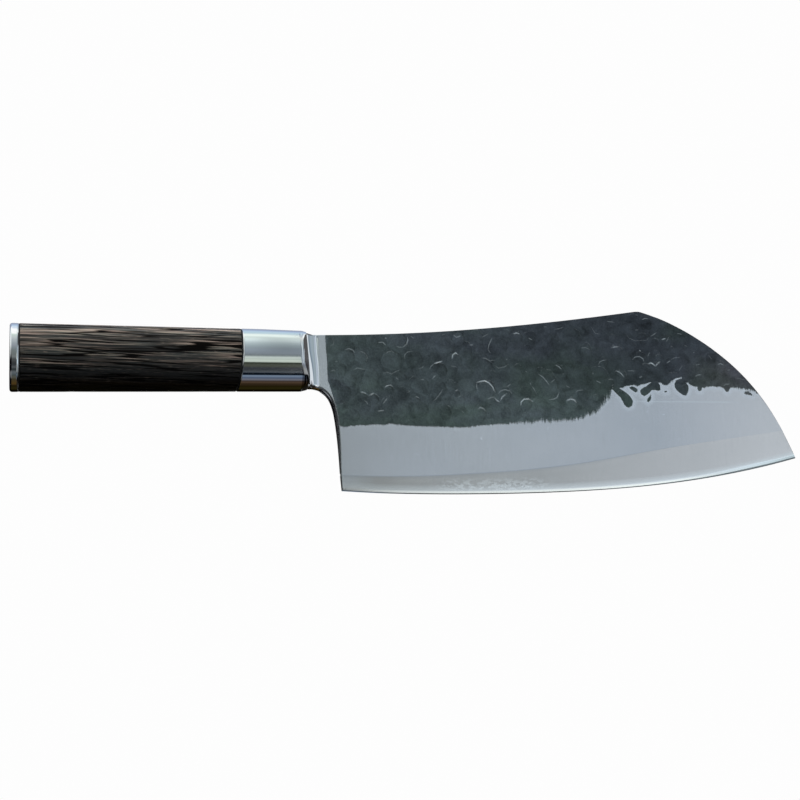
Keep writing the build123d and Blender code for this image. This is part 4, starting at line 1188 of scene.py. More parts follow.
class Mat:
    """Short hand for building a node material."""

    def __init__(self, name):
        self.m = bpy.data.materials.new(name)
        self.m.use_nodes = True
        self.t = self.m.node_tree
        self.t.nodes.clear()
        self.out = self.n("ShaderNodeOutputMaterial")
        self.bsdf = self.n("ShaderNodeBsdfPrincipled")
        self.t.links.new(self.bsdf.outputs[0], self.out.inputs[0])

    def n(self, kind, **props):
        node = self.t.nodes.new(kind)
        for k, v in props.items():
            setattr(node, k, v)
        return node

    def link(self, a, b):
        self.t.links.new(a, b)

    def put(self, socket, value):
        if hasattr(value, "is_output") or hasattr(value, "links"):
            self.t.links.new(value, socket)
        else:
            socket.default_value = value

    def attr(self, name, out="Fac"):
        return self.n("ShaderNodeAttribute", attribute_name=name).outputs[out]

    def coords(self):
        return self.n("ShaderNodeTexCoord").outputs["Object"]

    def mapping(self, vec, scale=(1, 1, 1), loc=(0, 0, 0), rot=(0, 0, 0)):
        m = self.n("ShaderNodeMapping")
        self.put(m.inputs["Vector"], vec)
        m.inputs["Scale"].default_value = scale
        m.inputs["Location"].default_value = loc
        m.inputs["Rotation"].default_value = rot
        return m.outputs[0]

    def noise(self, vec, scale=5.0, detail=4.0, rough=0.5, dist=0.0, out="Fac"):
        m = self.n("ShaderNodeTexNoise")
        self.put(m.inputs["Vector"], vec)
        m.inputs["Scale"].default_value = scale
        m.inputs["Detail"].default_value = detail
        m.inputs["Roughness"].default_value = rough
        m.inputs["Distortion"].default_value = dist
        return m.outputs[out]

    def math(self, op, a, b=None, c=None, clamp=False):
        m = self.n("ShaderNodeMath", operation=op, use_clamp=clamp)
        self.put(m.inputs[0], a)
        if b is not None:
            self.put(m.inputs[1], b)
        if c is not None:
            self.put(m.inputs[2], c)
        return m.outputs[0]

    def range(self, v, a, b, c=0.0, d=1.0, kind="LINEAR"):
        m = self.n("ShaderNodeMapRange", interpolation_type=kind)
        self.put(m.inputs["Value"], v)
        for i, x in zip(("From Min", "From Max", "To Min", "To Max"), (a, b, c, d)):
            self.put(m.inputs[i], x)
        return m.outputs[0]

    def mix(self, f, a, b):
        m = self.n("ShaderNodeMix", data_type="RGBA")
        self.put(m.inputs[0], f)
        self.put(m.inputs[6], a)
        self.put(m.inputs[7], b)
        return m.outputs[2]

    def mixf(self, f, a, b):
        m = self.n("ShaderNodeMix", data_type="FLOAT")
        self.put(m.inputs[0], f)
        self.put(m.inputs[2], a)
        self.put(m.inputs[3], b)
        return m.outputs[0]

    def ramp(self, f, stops):
        m = self.n("ShaderNodeValToRGB")
        self.put(m.inputs[0], f)
        e = m.color_ramp.elements
        while len(e) > 1:
            e.remove(e[-1])
        e[0].position, e[0].color = stops[0]
        for p, c in stops[1:]:
            x = e.new(p)
            x.color = c
        return m.outputs[0]

    def bump(self, height, strength=0.3, distance=0.0001, normal=None):
        m = self.n("ShaderNodeBump")
        m.inputs["Strength"].default_value = strength
        m.inputs["Distance"].default_value = distance
        self.put(m.inputs["Height"], height)
        if normal is not None:
            self.put(m.inputs["Normal"], normal)
        return m.outputs[0]

    def set(self, **kw):
        for k, v in kw.items():
            self.put(self.bsdf.inputs[k.replace("_", " ")], v)
        return self


def polished_steel(name, tint=(0.80, 0.81, 0.82, 1), rough=0.030):
    m = Mat(name)
    co = m.coords()
    sep = m.n("ShaderNodeSeparateXYZ")
    m.link(co, sep.inputs[0])
    x = sep.outputs[0]
    hair = m.noise(m.mapping(co, (900, 9000, 9000)), 1.0, 3.0, 0.6)
    smear = m.noise(m.mapping(co, (60, 60, 60)), 1.0, 4.0, 0.55)
    # the neck ahead of the scoops is left with a satin finish, and dulled
    satin = m.range(x, 0.1226, 0.1230, 0.0, 1.0, "SMOOTHSTEP")
    rr = m.math("ADD", m.range(smear, 0.3, 0.7, rough * 0.8, rough * 1.5), m.range(hair, 0.35, 0.75, 0.0, 0.02))
    rr = m.mixf(satin, rr, 0.24)
    col = m.mix(m.range(smear, 0.3, 0.75), tint, tuple(c * 0.95 for c in tint[:3]) + (1,))
    col = m.mix(satin, col, m.mix(m.range(hair, 0.3, 0.7), (0.60, 0.615, 0.63, 1), (0.67, 0.685, 0.695, 1)))
    # painted shade: the lower end of the crease is darkened
    z = sep.outputs[2]
    crease_shade = m.math("MULTIPLY", m.range(z, -0.001, -0.004), m.math("MULTIPLY", m.range(x, 0.1150, 0.1152), m.range(x, 0.1174, 0.1176, 1.0, 0.0)))
    col = m.mix(m.math("MULTIPLY", crease_shade, 0.75), col, (0.16, 0.16, 0.17, 1))
    m.set(Base_Color=col, Metallic=1.0, Roughness=rr, Normal=m.bump(hair, 0.04, 0.00002))
    return m.m


def blade_steel(name):
    """Black forge scale on the hammered face, satin ground steel below."""
    m = Mat(name)
    co = m.coords()
    sep = m.n("ShaderNodeSeparateXYZ")
    m.link(co, sep.inputs[0])
    x, z = sep.outputs[0], sep.outputs[2]
    d, crest_glint, edge_glint, hair, tone, lam = (m.attr(k) for k in ("scale_d", "crest_glint", "edge_glint", "hair", "tone", "lam_d"))
    # ragged border: fine hairs that run across the grinding direction
    hairs = m.noise(m.mapping(co, (1500, 300, 130), rot=(0, 0.12, 0)), 1.0, 3.0, 0.7)
    grit = m.noise(m.mapping(co, (1300, 1300, 1300)), 1.0, 3.0, 0.6)
    wob = m.math("ADD", m.math("MULTIPLY", m.math("SUBTRACT", hairs, 0.5), m.math("MULTIPLY", hair, 4.6)),
                 m.math("MULTIPLY", m.math("SUBTRACT", grit, 0.5), m.math("MULTIPLY_ADD", hair, 1.6, 0.3)))
    de = m.math("ADD", d, wob)
    soft = m.math("MULTIPLY_ADD", hair, 0.55, 0.06)
    black = m.range(de, m.math("MULTIPLY", soft, -1.0), soft)
    bare = m.attr("bare")
    black = m.math("MULTIPLY", black, m.math("SUBTRACT", 1.0, bare))
    # scale: blue-black to green-black patches, with painted pale highlights on the crests and edges
    patch = m.noise(m.mapping(co, (24, 24, 46)), 1.0, 4.0, 0.55, 0.8)
    patch2 = m.noise(m.mapping(co, (170, 170, 200)), 1.0, 5.0, 0.62, 0.6)
    speck = m.noise(m.mapping(co, (1500, 1500, 1500)), 1.0, 3.0, 0.6)
    low = m.range(z, 0.006, -0.026, 0.0, 1.0)
    green = m.math("ADD", m.range(patch, 0.30, 0.70, -0.35, 0.75), m.math("MULTIPLY", low, 0.55), clamp=True)
    c1 = m.mix(green, (0.093, 0.103, 0.117, 1), (0.085, 0.108, 0.097, 1))
    shade = m.math("ADD", m.range(patch2, 0.30, 0.72, 0.72, 1.32), m.math("MULTIPLY", tone, 0.20))
    shade = m.math("ADD", shade, m.range(speck, 0.3, 0.7, -0.16, 0.16))
    # painted light and shade: the scale is made lighter near the heel and lower down, darker towards the middle, and
    # lighter again near the point
    shade = m.math("MULTIPLY", shade, m.range(x, 0.130, 0.265, 1.18, 0.70))
    shade = m.math("MULTIPLY", shade, m.range(x, 0.262, 0.300, 1.0, 1.28))
    shade = m.math("MULTIPLY", shade, m.math("MULTIPLY_ADD", m.range(z, -0.006, -0.020), m.range(x, 0.150, 0.205, 0.0, 0.62), 1.0))
    shade = m.math("MULTIPLY", shade, m.range(x, 0.127, 0.150, 1.22, 1.0))
    dark = m.n("ShaderNodeVectorMath", operation="SCALE")
    m.link(c1, dark.inputs[0])
    m.put(dark.inputs["Scale"], shade)
    # painted light: below the middle and near the point the scale is lightened and warmed
    c4 = m.n("ShaderNodeMix", data_type="RGBA", blend_type="MULTIPLY")
    m.link(m.math("MULTIPLY", m.range(x, 0.278, 0.300), m.range(z, 0.008, -0.002)), c4.inputs[0])
    m.link(dark.outputs[0], c4.inputs[6])
    m.put(c4.inputs[7], (1.34, 1.12, 1.16, 1))
    # painted highlight: pale steel colour on the lips of the marks and a faint line along the eased edges; these spots
    # are also made smoother
    crest_and_edge_glint = m.math("MULTIPLY", crest_glint, m.range(speck, 0.28, 0.55, 0.55, 1.0))
    crest_and_edge_glint = m.math("MAXIMUM", crest_and_edge_glint, m.math("MULTIPLY", edge_glint, 0.12))
    c5 = m.mix(m.range(crest_and_edge_glint, 0.04, 0.85), c4.outputs[2], (0.70, 0.72, 0.72, 1))
    # ground bevel: satin, scratched across the blade
    scr = m.noise(m.mapping(co, (6000, 300, 110)), 1.0, 4.0, 0.65)
    cloud = m.noise(m.mapping(co, (18, 18, 40)), 1.0, 3.0, 0.5)
    blotch = m.noise(m.mapping(co, (330, 330, 420)), 1.0, 5.0, 0.62, 0.8)
    g1 = m.mix(m.range(cloud, 0.3, 0.7), (0.570, 0.582, 0.598, 1), (0.612, 0.618, 0.628, 1))
    # painted light: the bevel is made lighter and bluer towards the heel, lighter low at the heel, and lighter and
    # warmer towards the point
    g1 = m.mix(m.range(x, 0.180, 0.130, 0.0, 0.8), g1, (0.66, 0.670, 0.700, 1))
    g1 = m.mix(m.math("MULTIPLY", m.range(z, -0.034, -0.050, 0.0, 0.8), m.range(x, 0.190, 0.150)), g1, (0.72, 0.735, 0.765, 1))
    g1 = m.mix(m.range(x, 0.268, 0.318, 0.0, 1.0), g1, (0.78, 0.745, 0.735, 1))
    g2 = m.mix(m.math("MULTIPLY", m.range(scr, 0.40, 0.75), 0.10), g1, (0.40, 0.42, 0.45, 1))
    spots = m.math("MULTIPLY", m.range(blotch, 0.64, 0.72), m.range(patch, 0.50, 0.62))
    g3 = m.mix(m.math("MULTIPLY", spots, 0.5), g2, (0.82, 0.85, 0.88, 1))
    # bright halo where the wheel has thinned the scale, and a faint painted highlight line along the bevel, standing in
    # for a crease catching the light
    halo = m.math("MULTIPLY", m.range(d, -2.2, -0.2), m.range(x, 0.235, 0.256, 0.0, 0.45))
    g3 = m.mix(halo, g3, (0.84, 0.87, 0.90, 1))
    crease_glint = m.math("MULTIPLY", m.range(m.math("ABSOLUTE", m.math("ADD", z, 0.0162)), 0.0, 0.0005, 1.0, 0.0),
                    m.math("MULTIPLY", m.range(x, 0.250, 0.262), m.range(x, 0.300, 0.308, 1.0, 0.0)))
    g3 = m.mix(m.math("MULTIPLY", crease_glint, 0.30), g3, (0.82, 0.86, 0.88, 1))
    # dark line where the cladding feathers out onto the core
    seam = m.math("MULTIPLY", m.range(lam, 0.12, 0.55, 1.0, 0.0), m.range(x, 0.225, 0.285, 1.0, 0.0))
    g3 = m.mix(m.math("MULTIPLY", seam, 0.45), g3, (0.34, 0.37, 0.40, 1))
    col = m.mix(black, g3, c5)
    scale_rough = m.mixf(m.range(crest_and_edge_glint, 0.1, 0.5), m.range(patch2, 0.3, 0.7, 0.40, 0.30), 0.24)
    rough = m.mixf(black, m.range(scr, 0.35, 0.7, 0.20, 0.26), scale_rough)
    hgt = m.mixf(black, m.math("MULTIPLY", scr, 0.05), m.math("ADD", m.math("MULTIPLY", patch2, 0.9), m.math("MULTIPLY", speck, 0.30)))
    m.set(Base_Color=col, Metallic=1.0, Roughness=rough, Normal=m.bump(hgt, 0.55, 0.00013))
    return m.m


def core_material(name):
    m = Mat(name)
    co = m.coords()
    honed, up, lam = m.attr("honed"), m.attr("above_edge"), m.attr("lam_d")
    sep = m.n("ShaderNodeSeparateXYZ")
    m.link(co, sep.inputs[0])
    x = sep.outputs[0]
    scr = m.noise(m.mapping(co, (6000, 300, 110)), 1.0, 4.0, 0.65)
    cloud = m.noise(m.mapping(co, (30, 30, 110)), 1.0, 4.0, 0.6)
    g1 = m.mix(m.range(cloud, 0.3, 0.7), (0.520, 0.505, 0.480, 1), (0.590, 0.572, 0.540, 1))
    # painted light: the bevel is made lighter and warmer towards the point and lighter at the heel
    g1 = m.mix(m.range(x, 0.215, 0.280), g1, (0.72, 0.685, 0.655, 1))
    g1 = m.mix(m.range(x, 0.285, 0.320), g1, (0.84, 0.785, 0.755, 1))
    g1 = m.mix(m.range(x, 0.146, 0.132), g1, (0.68, 0.69, 0.70, 1))
    g2 = m.mix(m.math("MULTIPLY", m.range(scr, 0.40, 0.75), 0.10), g1, (0.40, 0.42, 0.44, 1))
    # the core's upper margin is a touch darker
    band = m.math("MULTIPLY", m.range(lam, 0.0, 1.3, 1.0, 0.0), m.range(x, 0.225, 0.285, 1.0, 0.0))
    g2 = m.mix(m.math("MULTIPLY", band, 0.30), g2, (0.40, 0.43, 0.45, 1))
    # dried spatter above the edge
    blot = m.noise(m.mapping(co, (420, 300, 700)), 1.0, 5.0, 0.65, 0.5)
    zone = m.math("MULTIPLY", m.range(x, 0.166, 0.182, 0.0, 1.0, "SMOOTHSTEP"), m.range(x, 0.208, 0.224, 1.0, 0.0, "SMOOTHSTEP"))
    zone = m.math("ADD", zone, m.range(x, 0.150, 0.130, 0.0, 0.25))
    zone = m.math("MULTIPLY", zone, m.range(up, 1.0, 7.0, 1.0, 0.0))
    g3 = m.mix(m.math("MULTIPLY", m.range(blot, 0.47, 0.55), zone, clamp=True), g2, (0.97, 0.98, 0.95, 1))
    glow = m.range(up, 1.1, 4.0, 0.95, 0.0)
    g3 = m.mix(glow, g3, (0.93, 0.94, 0.92, 1))
    col = m.mix(m.range(honed, 0.4, 0.7), g3, (0.92, 0.94, 0.93, 1))
    rough = m.mixf(honed, m.range(scr, 0.35, 0.7, 0.20, 0.26), 0.12)
    m.set(Base_Color=col, Metallic=1.0, Roughness=rough, Normal=m.bump(scr, 0.12, 0.00002))
    return m.m


def wood_material(name):
    m = Mat(name)
    g = m.attr("grain_xyz", "Vector")
    tone, groove, fleck = m.attr("wood_tone"), m.attr("groove"), m.attr("fleck")
    long1 = m.noise(m.mapping(g, (0.05, 2.4, 1)), 1.0, 4.0, 0.65, 0.15)
    pores = m.noise(m.mapping(g, (0.50, 6.5, 1), loc=(2, 9, 0)), 1.0, 3.0, 0.6)
    warm = m.noise(m.mapping(g, (0.035, 0.28, 1), loc=(4, 1, 0)), 1.0, 3.0, 0.5)
    t = m.math("ADD", tone, m.range(long1, 0.3, 0.7, -0.16, 0.16))
    dark = m.ramp(t, [(0.18, srgb(19, 16, 13)), (0.34, srgb(37, 32, 28)), (0.46, srgb(60, 54, 48)), (0.56, srgb(90, 81, 74)),
                      (0.66, srgb(126, 112, 102)), (0.80, srgb(160, 142, 131))])
    grey = m.ramp(t, [(0.18, srgb(16, 16, 15)), (0.34, srgb(34, 35, 34)), (0.46, srgb(58, 60, 58)), (0.56, srgb(86, 86, 80)),
                      (0.66, srgb(116, 112, 102)), (0.80, srgb(146, 138, 124))])
    col = m.mix(m.range(warm, 0.40, 0.60), grey, dark)
    col = m.mix(m.math("MULTIPLY", fleck, 0.55), col, srgb(160, 146, 134))
    col = m.mix(m.math("MULTIPLY", m.range(pores, 0.60, 0.72), 0.5), col, srgb(20, 16, 13))
    col = m.mix(m.range(groove, 0.10, 0.75), col, srgb(9, 7, 6))
    rough = m.math("ADD", m.range(t, 0.3, 0.65, 0.36, 0.50), m.math("MULTIPLY", groove, 0.3))
    m.set(Base_Color=col, Roughness=rough, Normal=m.bump(m.math("ADD", long1, m.math("MULTIPLY", pores, -0.5)), 0.45, 0.00012))
    m.put(m.bsdf.inputs["Specular IOR Level"], m.range(groove, 0.0, 0.6, 0.5, 0.1))
    return m.m


def fibre_material(name):
    m = Mat(name)
    n = m.noise(m.mapping(m.coords(), (4000, 4000, 4000)), 1.0, 3.0)
    m.set(Base_Color=m.mix(n, srgb(8, 8, 8), srgb(20, 19, 18)), Roughness=m.range(n, 0.3, 0.7, 0.5, 0.7), Normal=m.bump(n, 0.2, 0.00003))
    return m.m


def plain_metal(name, a, b, rough):
    m = Mat(name)
    n = m.noise(m.mapping(m.coords(), (300, 2500, 2500)), 1.0, 4.0)
    m.set(Base_Color=m.mix(n, a, b), Metallic=1.0, Roughness=m.range(n, 0.3, 0.7, rough, rough + 0.12), Normal=m.bump(n, 0.15, 0.00003))
    return m.m


def epoxy_material(name):
    m = Mat(name)
    n = m.noise(m.mapping(m.coords(), (350, 350, 350)), 1.0, 4.0)
    m.set(Base_Color=m.mix(n, srgb(150, 104, 40), srgb(186, 140, 66)), Roughness=m.range(n, 0.3, 0.7, 0.2, 0.35))
    return m.m


mat_blade = blade_steel("forged_cladding_steel")
mat_core = core_material("core_edge_steel")
mat_polish = polished_steel("polished_stainless_steel")
mat_wood = wood_material("dark_open_grain_wood")
mat_fibre = fibre_material("black_fibre")
mat_rod = plain_metal("plain_rod_steel", srgb(150, 150, 152), srgb(176, 176, 176), 0.32)
mat_zinc = plain_metal("zinc_plated_steel", srgb(190, 193, 196), srgb(212, 214, 212), 0.25)
mat_epoxy = epoxy_material("amber_epoxy")

plan = [(right_clad, "cladding_right", "forged_cladding", mat_blade),
        (left_clad, "cladding_left", "forged_cladding", mat_blade),
        (blade_core, "core_steel", "core_steel", mat_core),
        (bolster, "bolster", "polished_stainless", mat_polish),
        (end_cap, "end_cap", "polished_stainless", mat_polish),
        (front_liner, "front_liner", "black_fibre", mat_fibre),
        (rear_liner, "rear_liner", "black_fibre", mat_fibre),
        (handle, "handle_wood", "dark_wood", mat_wood)]
for ob, node, slot, mat in plan:
    ob.data.materials.clear()
    ob.data.materials.append(mat)
    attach(ob, BODY)
    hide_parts(node)

for node, mat in (("tang_rod", mat_rod), ("tang_nut", mat_zinc), ("flat_washer", mat_zinc), ("spring_washer", mat_zinc),
                  ("bore_epoxy", mat_epoxy)):
    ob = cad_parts[node]
    ob.data.materials.clear()
    ob.data.materials.append(mat)

# =====================================================================
# Stage: pale floor, soft studio light, camera
# =====================================================================
scene = bpy.context.scene
scene.view_settings.view_transform = "Standard"

world = bpy.data.worlds.new("studio")
scene.world = world
world.use_nodes = True
wt = world.node_tree
wt.nodes.clear()


def wn(kind, **p):
    n = wt.nodes.new(kind)
    for k, v in p.items():
        setattr(n, k, v)
    return n


geo = wn("ShaderNodeTexCoord")
sepw = wn("ShaderNodeSeparateXYZ")
wt.links.new(geo.outputs["Generated"], sepw.inputs[0])
WX, WY, WZ = sepw.outputs


def wmath(op, a, b=None, c=None):
    n = wn("ShaderNodeMath", operation=op)
    for i, v in enumerate((a, b, c)):
        if v is None:
            continue
        if hasattr(v, "links"):
            wt.links.new(v, n.inputs[i])
        else:
            n.inputs[i].default_value = v
    return n.outputs[0]


def wstep(v, a, b, c=0.0, d=1.0):
    n = wn("ShaderNodeMapRange", interpolation_type="SMOOTHSTEP")
    wt.links.new(v, n.inputs["Value"])
    for k, q in zip(("From Min", "From Max", "To Min", "To Max"), (a, b, c, d)):
        n.inputs[k].default_value = q
    return n.outputs[0]


def wmix(f, a, b):
    n = wn("ShaderNodeMix", data_type="RGBA")
    for i, v in ((0, f), (6, a), (7, b)):
        if hasattr(v, "links"):
            wt.links.new(v, n.inputs[i])
        else:
            n.inputs[i].default_value = v
    return n.outputs[2]


def wramp(value, lo, hi, stops):
    """Colour ramp over value in [lo, hi]."""
    pos = wn("ShaderNodeMapRange")
    pos.inputs["From Min"].default_value, pos.inputs["From Max"].default_value = lo, hi
    wt.links.new(value, pos.inputs["Value"])
    r = wn("ShaderNodeValToRGB")
    wt.links.new(pos.outputs[0], r.inputs[0])
    e = r.color_ramp.elements
    while len(e) > 1:
        e.remove(e[-1])
    for i, (p, c) in enumerate(stops):
        p = (p - lo) / (hi - lo)
        if i == 0:
            e[0].position, e[0].color = p, c
        else:
            e.new(p).color = c
    return r.outputs[0]


def by_elevation(stops, k=1.25):
    """Ramp by elevation in degrees, split at the horizon for room."""
    conv = [(math.sin(math.radians(el)), up(c, k)) for el, c in stops]
    low = [q for q in conv if q[0] <= 0] + [q for q in conv if q[0] > 0][:1]
    high = [q for q in conv if q[0] <= 0][-1:] + [q for q in conv if q[0] > 0]
    low[-1] = (min(low[-1][0], 0.02), low[-1][1])
    a = wramp(WZ, -1.0, 0.02, low)
    b = wramp(WZ, min(high[0][0], -0.0001), 1.0, high)
    return wmix(wmath("GREATER_THAN", WZ, 0.0), a, b)


def up(c, k=1.25):
    c = srgb(*c)
    return (c[0] * k, c[1] * k, c[2] * k, 1)


# what polished steel mirrors: a dark ground, a low strip light, a soft tall
# window, and a bright card ahead of the point
room = by_elevation([(-90, (44, 34, 22)), (-81, (44, 34, 22)), (-75, (72, 57, 43)), (-68, (72, 58, 48)), (-62, (56, 48, 46)),
                     (-57, (97, 96, 102)), (-50, (101, 106, 119)), (-45, (72, 82, 100)), (-40, (95, 108, 128)), (-34.5, (114, 129, 148)),
                     (-31.5, (92, 106, 122)), (-29.6, (6, 14, 24)), (-22.8, (6, 14, 24)), (-20.8, (66, 72, 78)), (-18, (72, 78, 83)),
                     (-15, (64, 68, 71)), (-12, (54, 57, 61)), (-6.5, (54, 57, 62)), (-4, (63, 65, 62)), (-1.5, (72, 75, 67)),
                     (1, (72, 75, 67)), (3, (64, 68, 60)), (4.4, (44, 49, 40)), (5.6, (46, 51, 42)), (6.6, (176, 185, 175)), (8.2, (192, 202, 192)),
                     (9.8, (192, 202, 192)), (10.8, (172, 183, 175)), (12, (190, 201, 194)), (13.1, (186, 196, 191)), (13.5, (104, 113, 117)),
                     (13.9, (106, 115, 119)), (14.4, (121, 130, 138)), (19, (119, 129, 137)), (22, (121, 131, 137)), (26.5, (131, 143, 147)),
                     (31.5, (145, 157, 160)), (36, (158, 170, 172)), (41, (176, 188, 189)), (48, (188, 201, 199)), (54, (195, 207, 204)),
                     (58, (205, 218, 213)), (62, (228, 241, 236)), (69, (236, 247, 241)), (75, (214, 228, 227)), (80, (184, 208, 219)),
                     (90, (180, 204, 222))])
# nearer the butt the same room reads a little differently, warmer low down
cap_room = by_elevation([(-90, (70, 53, 25)), (-77, (68, 55, 29)), (-63, (63, 55, 36)), (-57, (60, 55, 41)), (-52, (72, 70, 60)),
                         (-46, (78, 79, 70)), (-41, (73, 76, 73)), (-37, (66, 73, 73)), (-33, (77, 85, 89)), (-25.5, (90, 96, 100)),
                         (-22, (79, 85, 88)), (-19, (52, 58, 60)), (-15.5, (47, 53, 54)), (-12.5, (66, 71, 73)), (-10, (82, 85, 87)),
                         (-7.5, (71, 74, 77)), (-5, (54, 58, 60)), (-1, (53, 56, 58)), (1.4, (58, 60, 61)), (4, (70, 72, 73)), (7, (72, 76, 76)),
                         (9.5, (104, 109, 109)), (10.8, (113, 118, 118)), (12, (103, 109, 108)), (14, (109, 117, 116)), (16.3, (122, 132, 136)),
                         (20, (141, 148, 155)), (23.5, (149, 158, 163)), (27.5, (165, 173, 177)), (32, (174, 182, 184)), (38, (191, 199, 199)),
                         (44, (194, 208, 202)), (48, (214, 225, 219)), (51, (250, 252, 250)), (70, (255, 255, 255)), (76, (240, 246, 250)),
                         (82, (214, 224, 236)), (90, (208, 222, 238))])
card = by_elevation([(-90, (8, 7, 6)), (-33, (10, 10, 11)), (-28, (40, 42, 46)), (-25, (200, 204, 206)), (-22, (250, 253, 252)),
                     (-10, (250, 254, 252)), (-6, (236, 242, 242)), (-2, (214, 222, 228)), (2, (198, 208, 220)), (6, (190, 201, 216)),
                     (11, (182, 193, 206)), (15, (158, 168, 180)), (22, (132, 142, 152)), (30, (150, 162, 170)), (45, (222, 232, 234)),
                     (58, (250, 254, 252)), (70, (214, 226, 236)), (90, (182, 200, 224))], 1.12)
room = wmix(wstep(WX, 0.03, 0.08), cap_room, room)
gain = wramp(WX, 0.16, 0.50, [(0.160, (0.44,) * 3 + (1,)), (0.170, (0.52,) * 3 + (1,)), (0.182, (0.655,) * 3 + (1,)), (0.200, (0.77,) * 3 + (1,)),
                              (0.240, (0.84,) * 3 + (1,)), (0.320, (0.93,) * 3 + (1,)), (0.410, (1.14,) * 3 + (1,)), (0.470, (1.25,) * 3 + (1,))])
tinted = wn("ShaderNodeMix", data_type="RGBA", blend_type="MULTIPLY")
tinted.inputs[0].default_value = 1.0
wt.links.new(card, tinted.inputs[6])
wt.links.new(gain, tinted.inputs[7])
oval = wramp(WX, 0.10, 0.20, [(0.140, (1.45,) * 3 + (1,)), (0.150, (1.22,) * 3 + (1,)), (0.158, (1.05,) * 3 + (1,)), (0.164, (0.97,) * 3 + (1,)),
                              (0.170, (1.0,) * 3 + (1,)), (0.1745, (1.2,) * 3 + (1,)), (0.178, (1.5,) * 3 + (1,))])
swirl = wn("ShaderNodeMix", data_type="RGBA", blend_type="MULTIPLY")
wt.links.new(wmath("MULTIPLY", wstep(WX, 0.10, 0.13), wmath("MULTIPLY", wstep(WZ, 0.22, 0.34), wstep(WZ, 0.70, 0.90, 1.0, 0.0))), swirl.inputs[0])
wt.links.new(room, swirl.inputs[6])
wt.links.new(oval, swirl.inputs[7])
room = swirl.outputs[2]
ahead = wmath("MULTIPLY", wstep(WX, 0.1772, 0.1790), wstep(WZ, 0.12, 0.16))
ahead = wmath("MAXIMUM", ahead, wstep(WX, 0.1805, 0.1855))
front = wmix(ahead, room, tinted.outputs[2])
# round to the point side the room shows as upright bands, by azimuth
azim = wmath("MULTIPLY", wmath("ARCTAN2", WY, WX), 180 / math.pi)
bands = wramp(azim, -80, 90, [(-78.6, up((120, 129, 135))), (-77.6, up((120, 129, 135))), (-76.4, up((206, 217, 222))), (-72.4, up((200, 212, 218))),
                              (-70.6, up((152, 165, 171))), (-65, up((142, 155, 162))), (-60, up((147, 160, 167))), (-55, up((152, 165, 172))),
                              (-50, up((146, 160, 170))), (-45.5, up((124, 139, 150))), (-42, up((116, 131, 141))), (-40.3, up((130, 143, 152))),
                              (-38.3, up((214, 221, 227))), (-21.5, up((216, 222, 228))), (-20.3, up((86, 86, 88))), (-1, up((80, 79, 79))),
                              (2, up((118, 131, 137))), (5, up((140, 153, 160))),
                              (9, up((172, 185, 190))), (34, up((204, 210, 214))), (56, up((238, 243, 244))), (80, up((225, 230, 232)))])
tall = wramp(WZ, -0.40, 0.40, [(-0.36, (0.30,) * 3 + (1,)), (-0.14, (0.45,) * 3 + (1,)), (-0.03, (1.0,) * 3 + (1,)), (0.02, (1.9,) * 3 + (1,)),
                               (0.11, (1.9,) * 3 + (1,)), (0.17, (1.0,) * 3 + (1,)), (0.40, (1.0,) * 3 + (1,))])
dim = wramp(WZ, -0.60, 0.10, [(-0.45, (0.10,) * 3 + (1,)), (-0.30, (0.35,) * 3 + (1,)), (-0.10, (0.8,) * 3 + (1,)), (0.0, (1.0,) * 3 + (1,))])
height = wn("ShaderNodeMix", data_type="RGBA", blend_type="MULTIPLY")
height.inputs[0].default_value = 1.0
wt.links.new(bands, height.inputs[6])
wt.links.new(wmix(wstep(azim, -50, -38), tall, dim), height.inputs[7])
bands = height.outputs[2]
line_w = wmath("MULTIPLY", wmath("MULTIPLY", wstep(azim, -78.9, -78.0), wstep(azim, -72.2, -71.2, 1.0, 0.0)), wstep(WZ, 0.10, 0.15))
side_w = wmath("MULTIPLY", wmath("MAXIMUM", wstep(azim, -64.5, -62.5), line_w), wstep(azim, 78, 86, 1.0, 0.0))
side_w = wmath("MULTIPLY", side_w, wstep(wmath("ABSOLUTE", WZ), 0.50, 0.75, 1.0, 0.0))
side_w = wmath("MULTIPLY", side_w, wstep(WX, 0.186, 0.205))
# behind the knife: dark low down, pale above
rear = by_elevation([(-90, (46, 36, 22)), (-78, (38, 30, 15)), (-70, (31, 25, 8)), (-48, (37, 33, 11)), (-34, (34, 30, 9)), (-24, (12, 9, 2)),
                     (-15, (6, 4, 0)), (8, (6, 4, 1)), (14, (30, 26, 18)), (18, (80, 82, 86)), (25, (140, 148, 166)), (45, (148, 157, 178)),
                     (65, (160, 177, 203)), (76, (178, 202, 223)), (90, (176, 200, 222))])
rear_w = wstep(WY, 0.02, 0.22)
glossy = wmix(rear_w, front, rear)
# towards the butt: a tall window
butt = by_elevation([(-90, (40, 34, 26)), (-30, (52, 52, 52)), (-12, (70, 72, 72)), (-4, (150, 154, 154)), (4, (216, 222, 222)), (30, (236, 242, 242)),
                     (60, (226, 236, 238)), (90, (170, 190, 212))])
glossy = wmix(wmath("MULTIPLY", wstep(WX, -0.70, -0.45, 1.0, 0.0), wstep(WY, 0.1, 0.4, 1.0, 0.0)), glossy, butt)
# the rounded choil and the underside of the neck mirror the dark below the handle
shade_w = wmath("MULTIPLY", wstep(WX, -0.34, -0.22, 1.0, 0.0), wstep(WZ, 0.14, 0.34, 1.0, 0.0))
glossy = wmix(shade_w, glossy, (0.004, 0.004, 0.005, 1))
glossy = wmix(side_w, glossy, bands)
low_w = wmath("MULTIPLY", wstep(WZ, 0.12, 0.19, 1.0, 0.0), wstep(WY, -0.30, -0.15))
low_w = wmath("MULTIPLY", low_w, wstep(WX, 0.19, 0.24))
glossy = wmix(low_w, glossy, (0.020, 0.018, 0.014, 1))
high_w = wmath("MULTIPLY", wstep(WX, 0.45, 0.58), wstep(WZ, 0.29, 0.36))
glossy = wmix(high_w, glossy, up((82, 82, 82)))
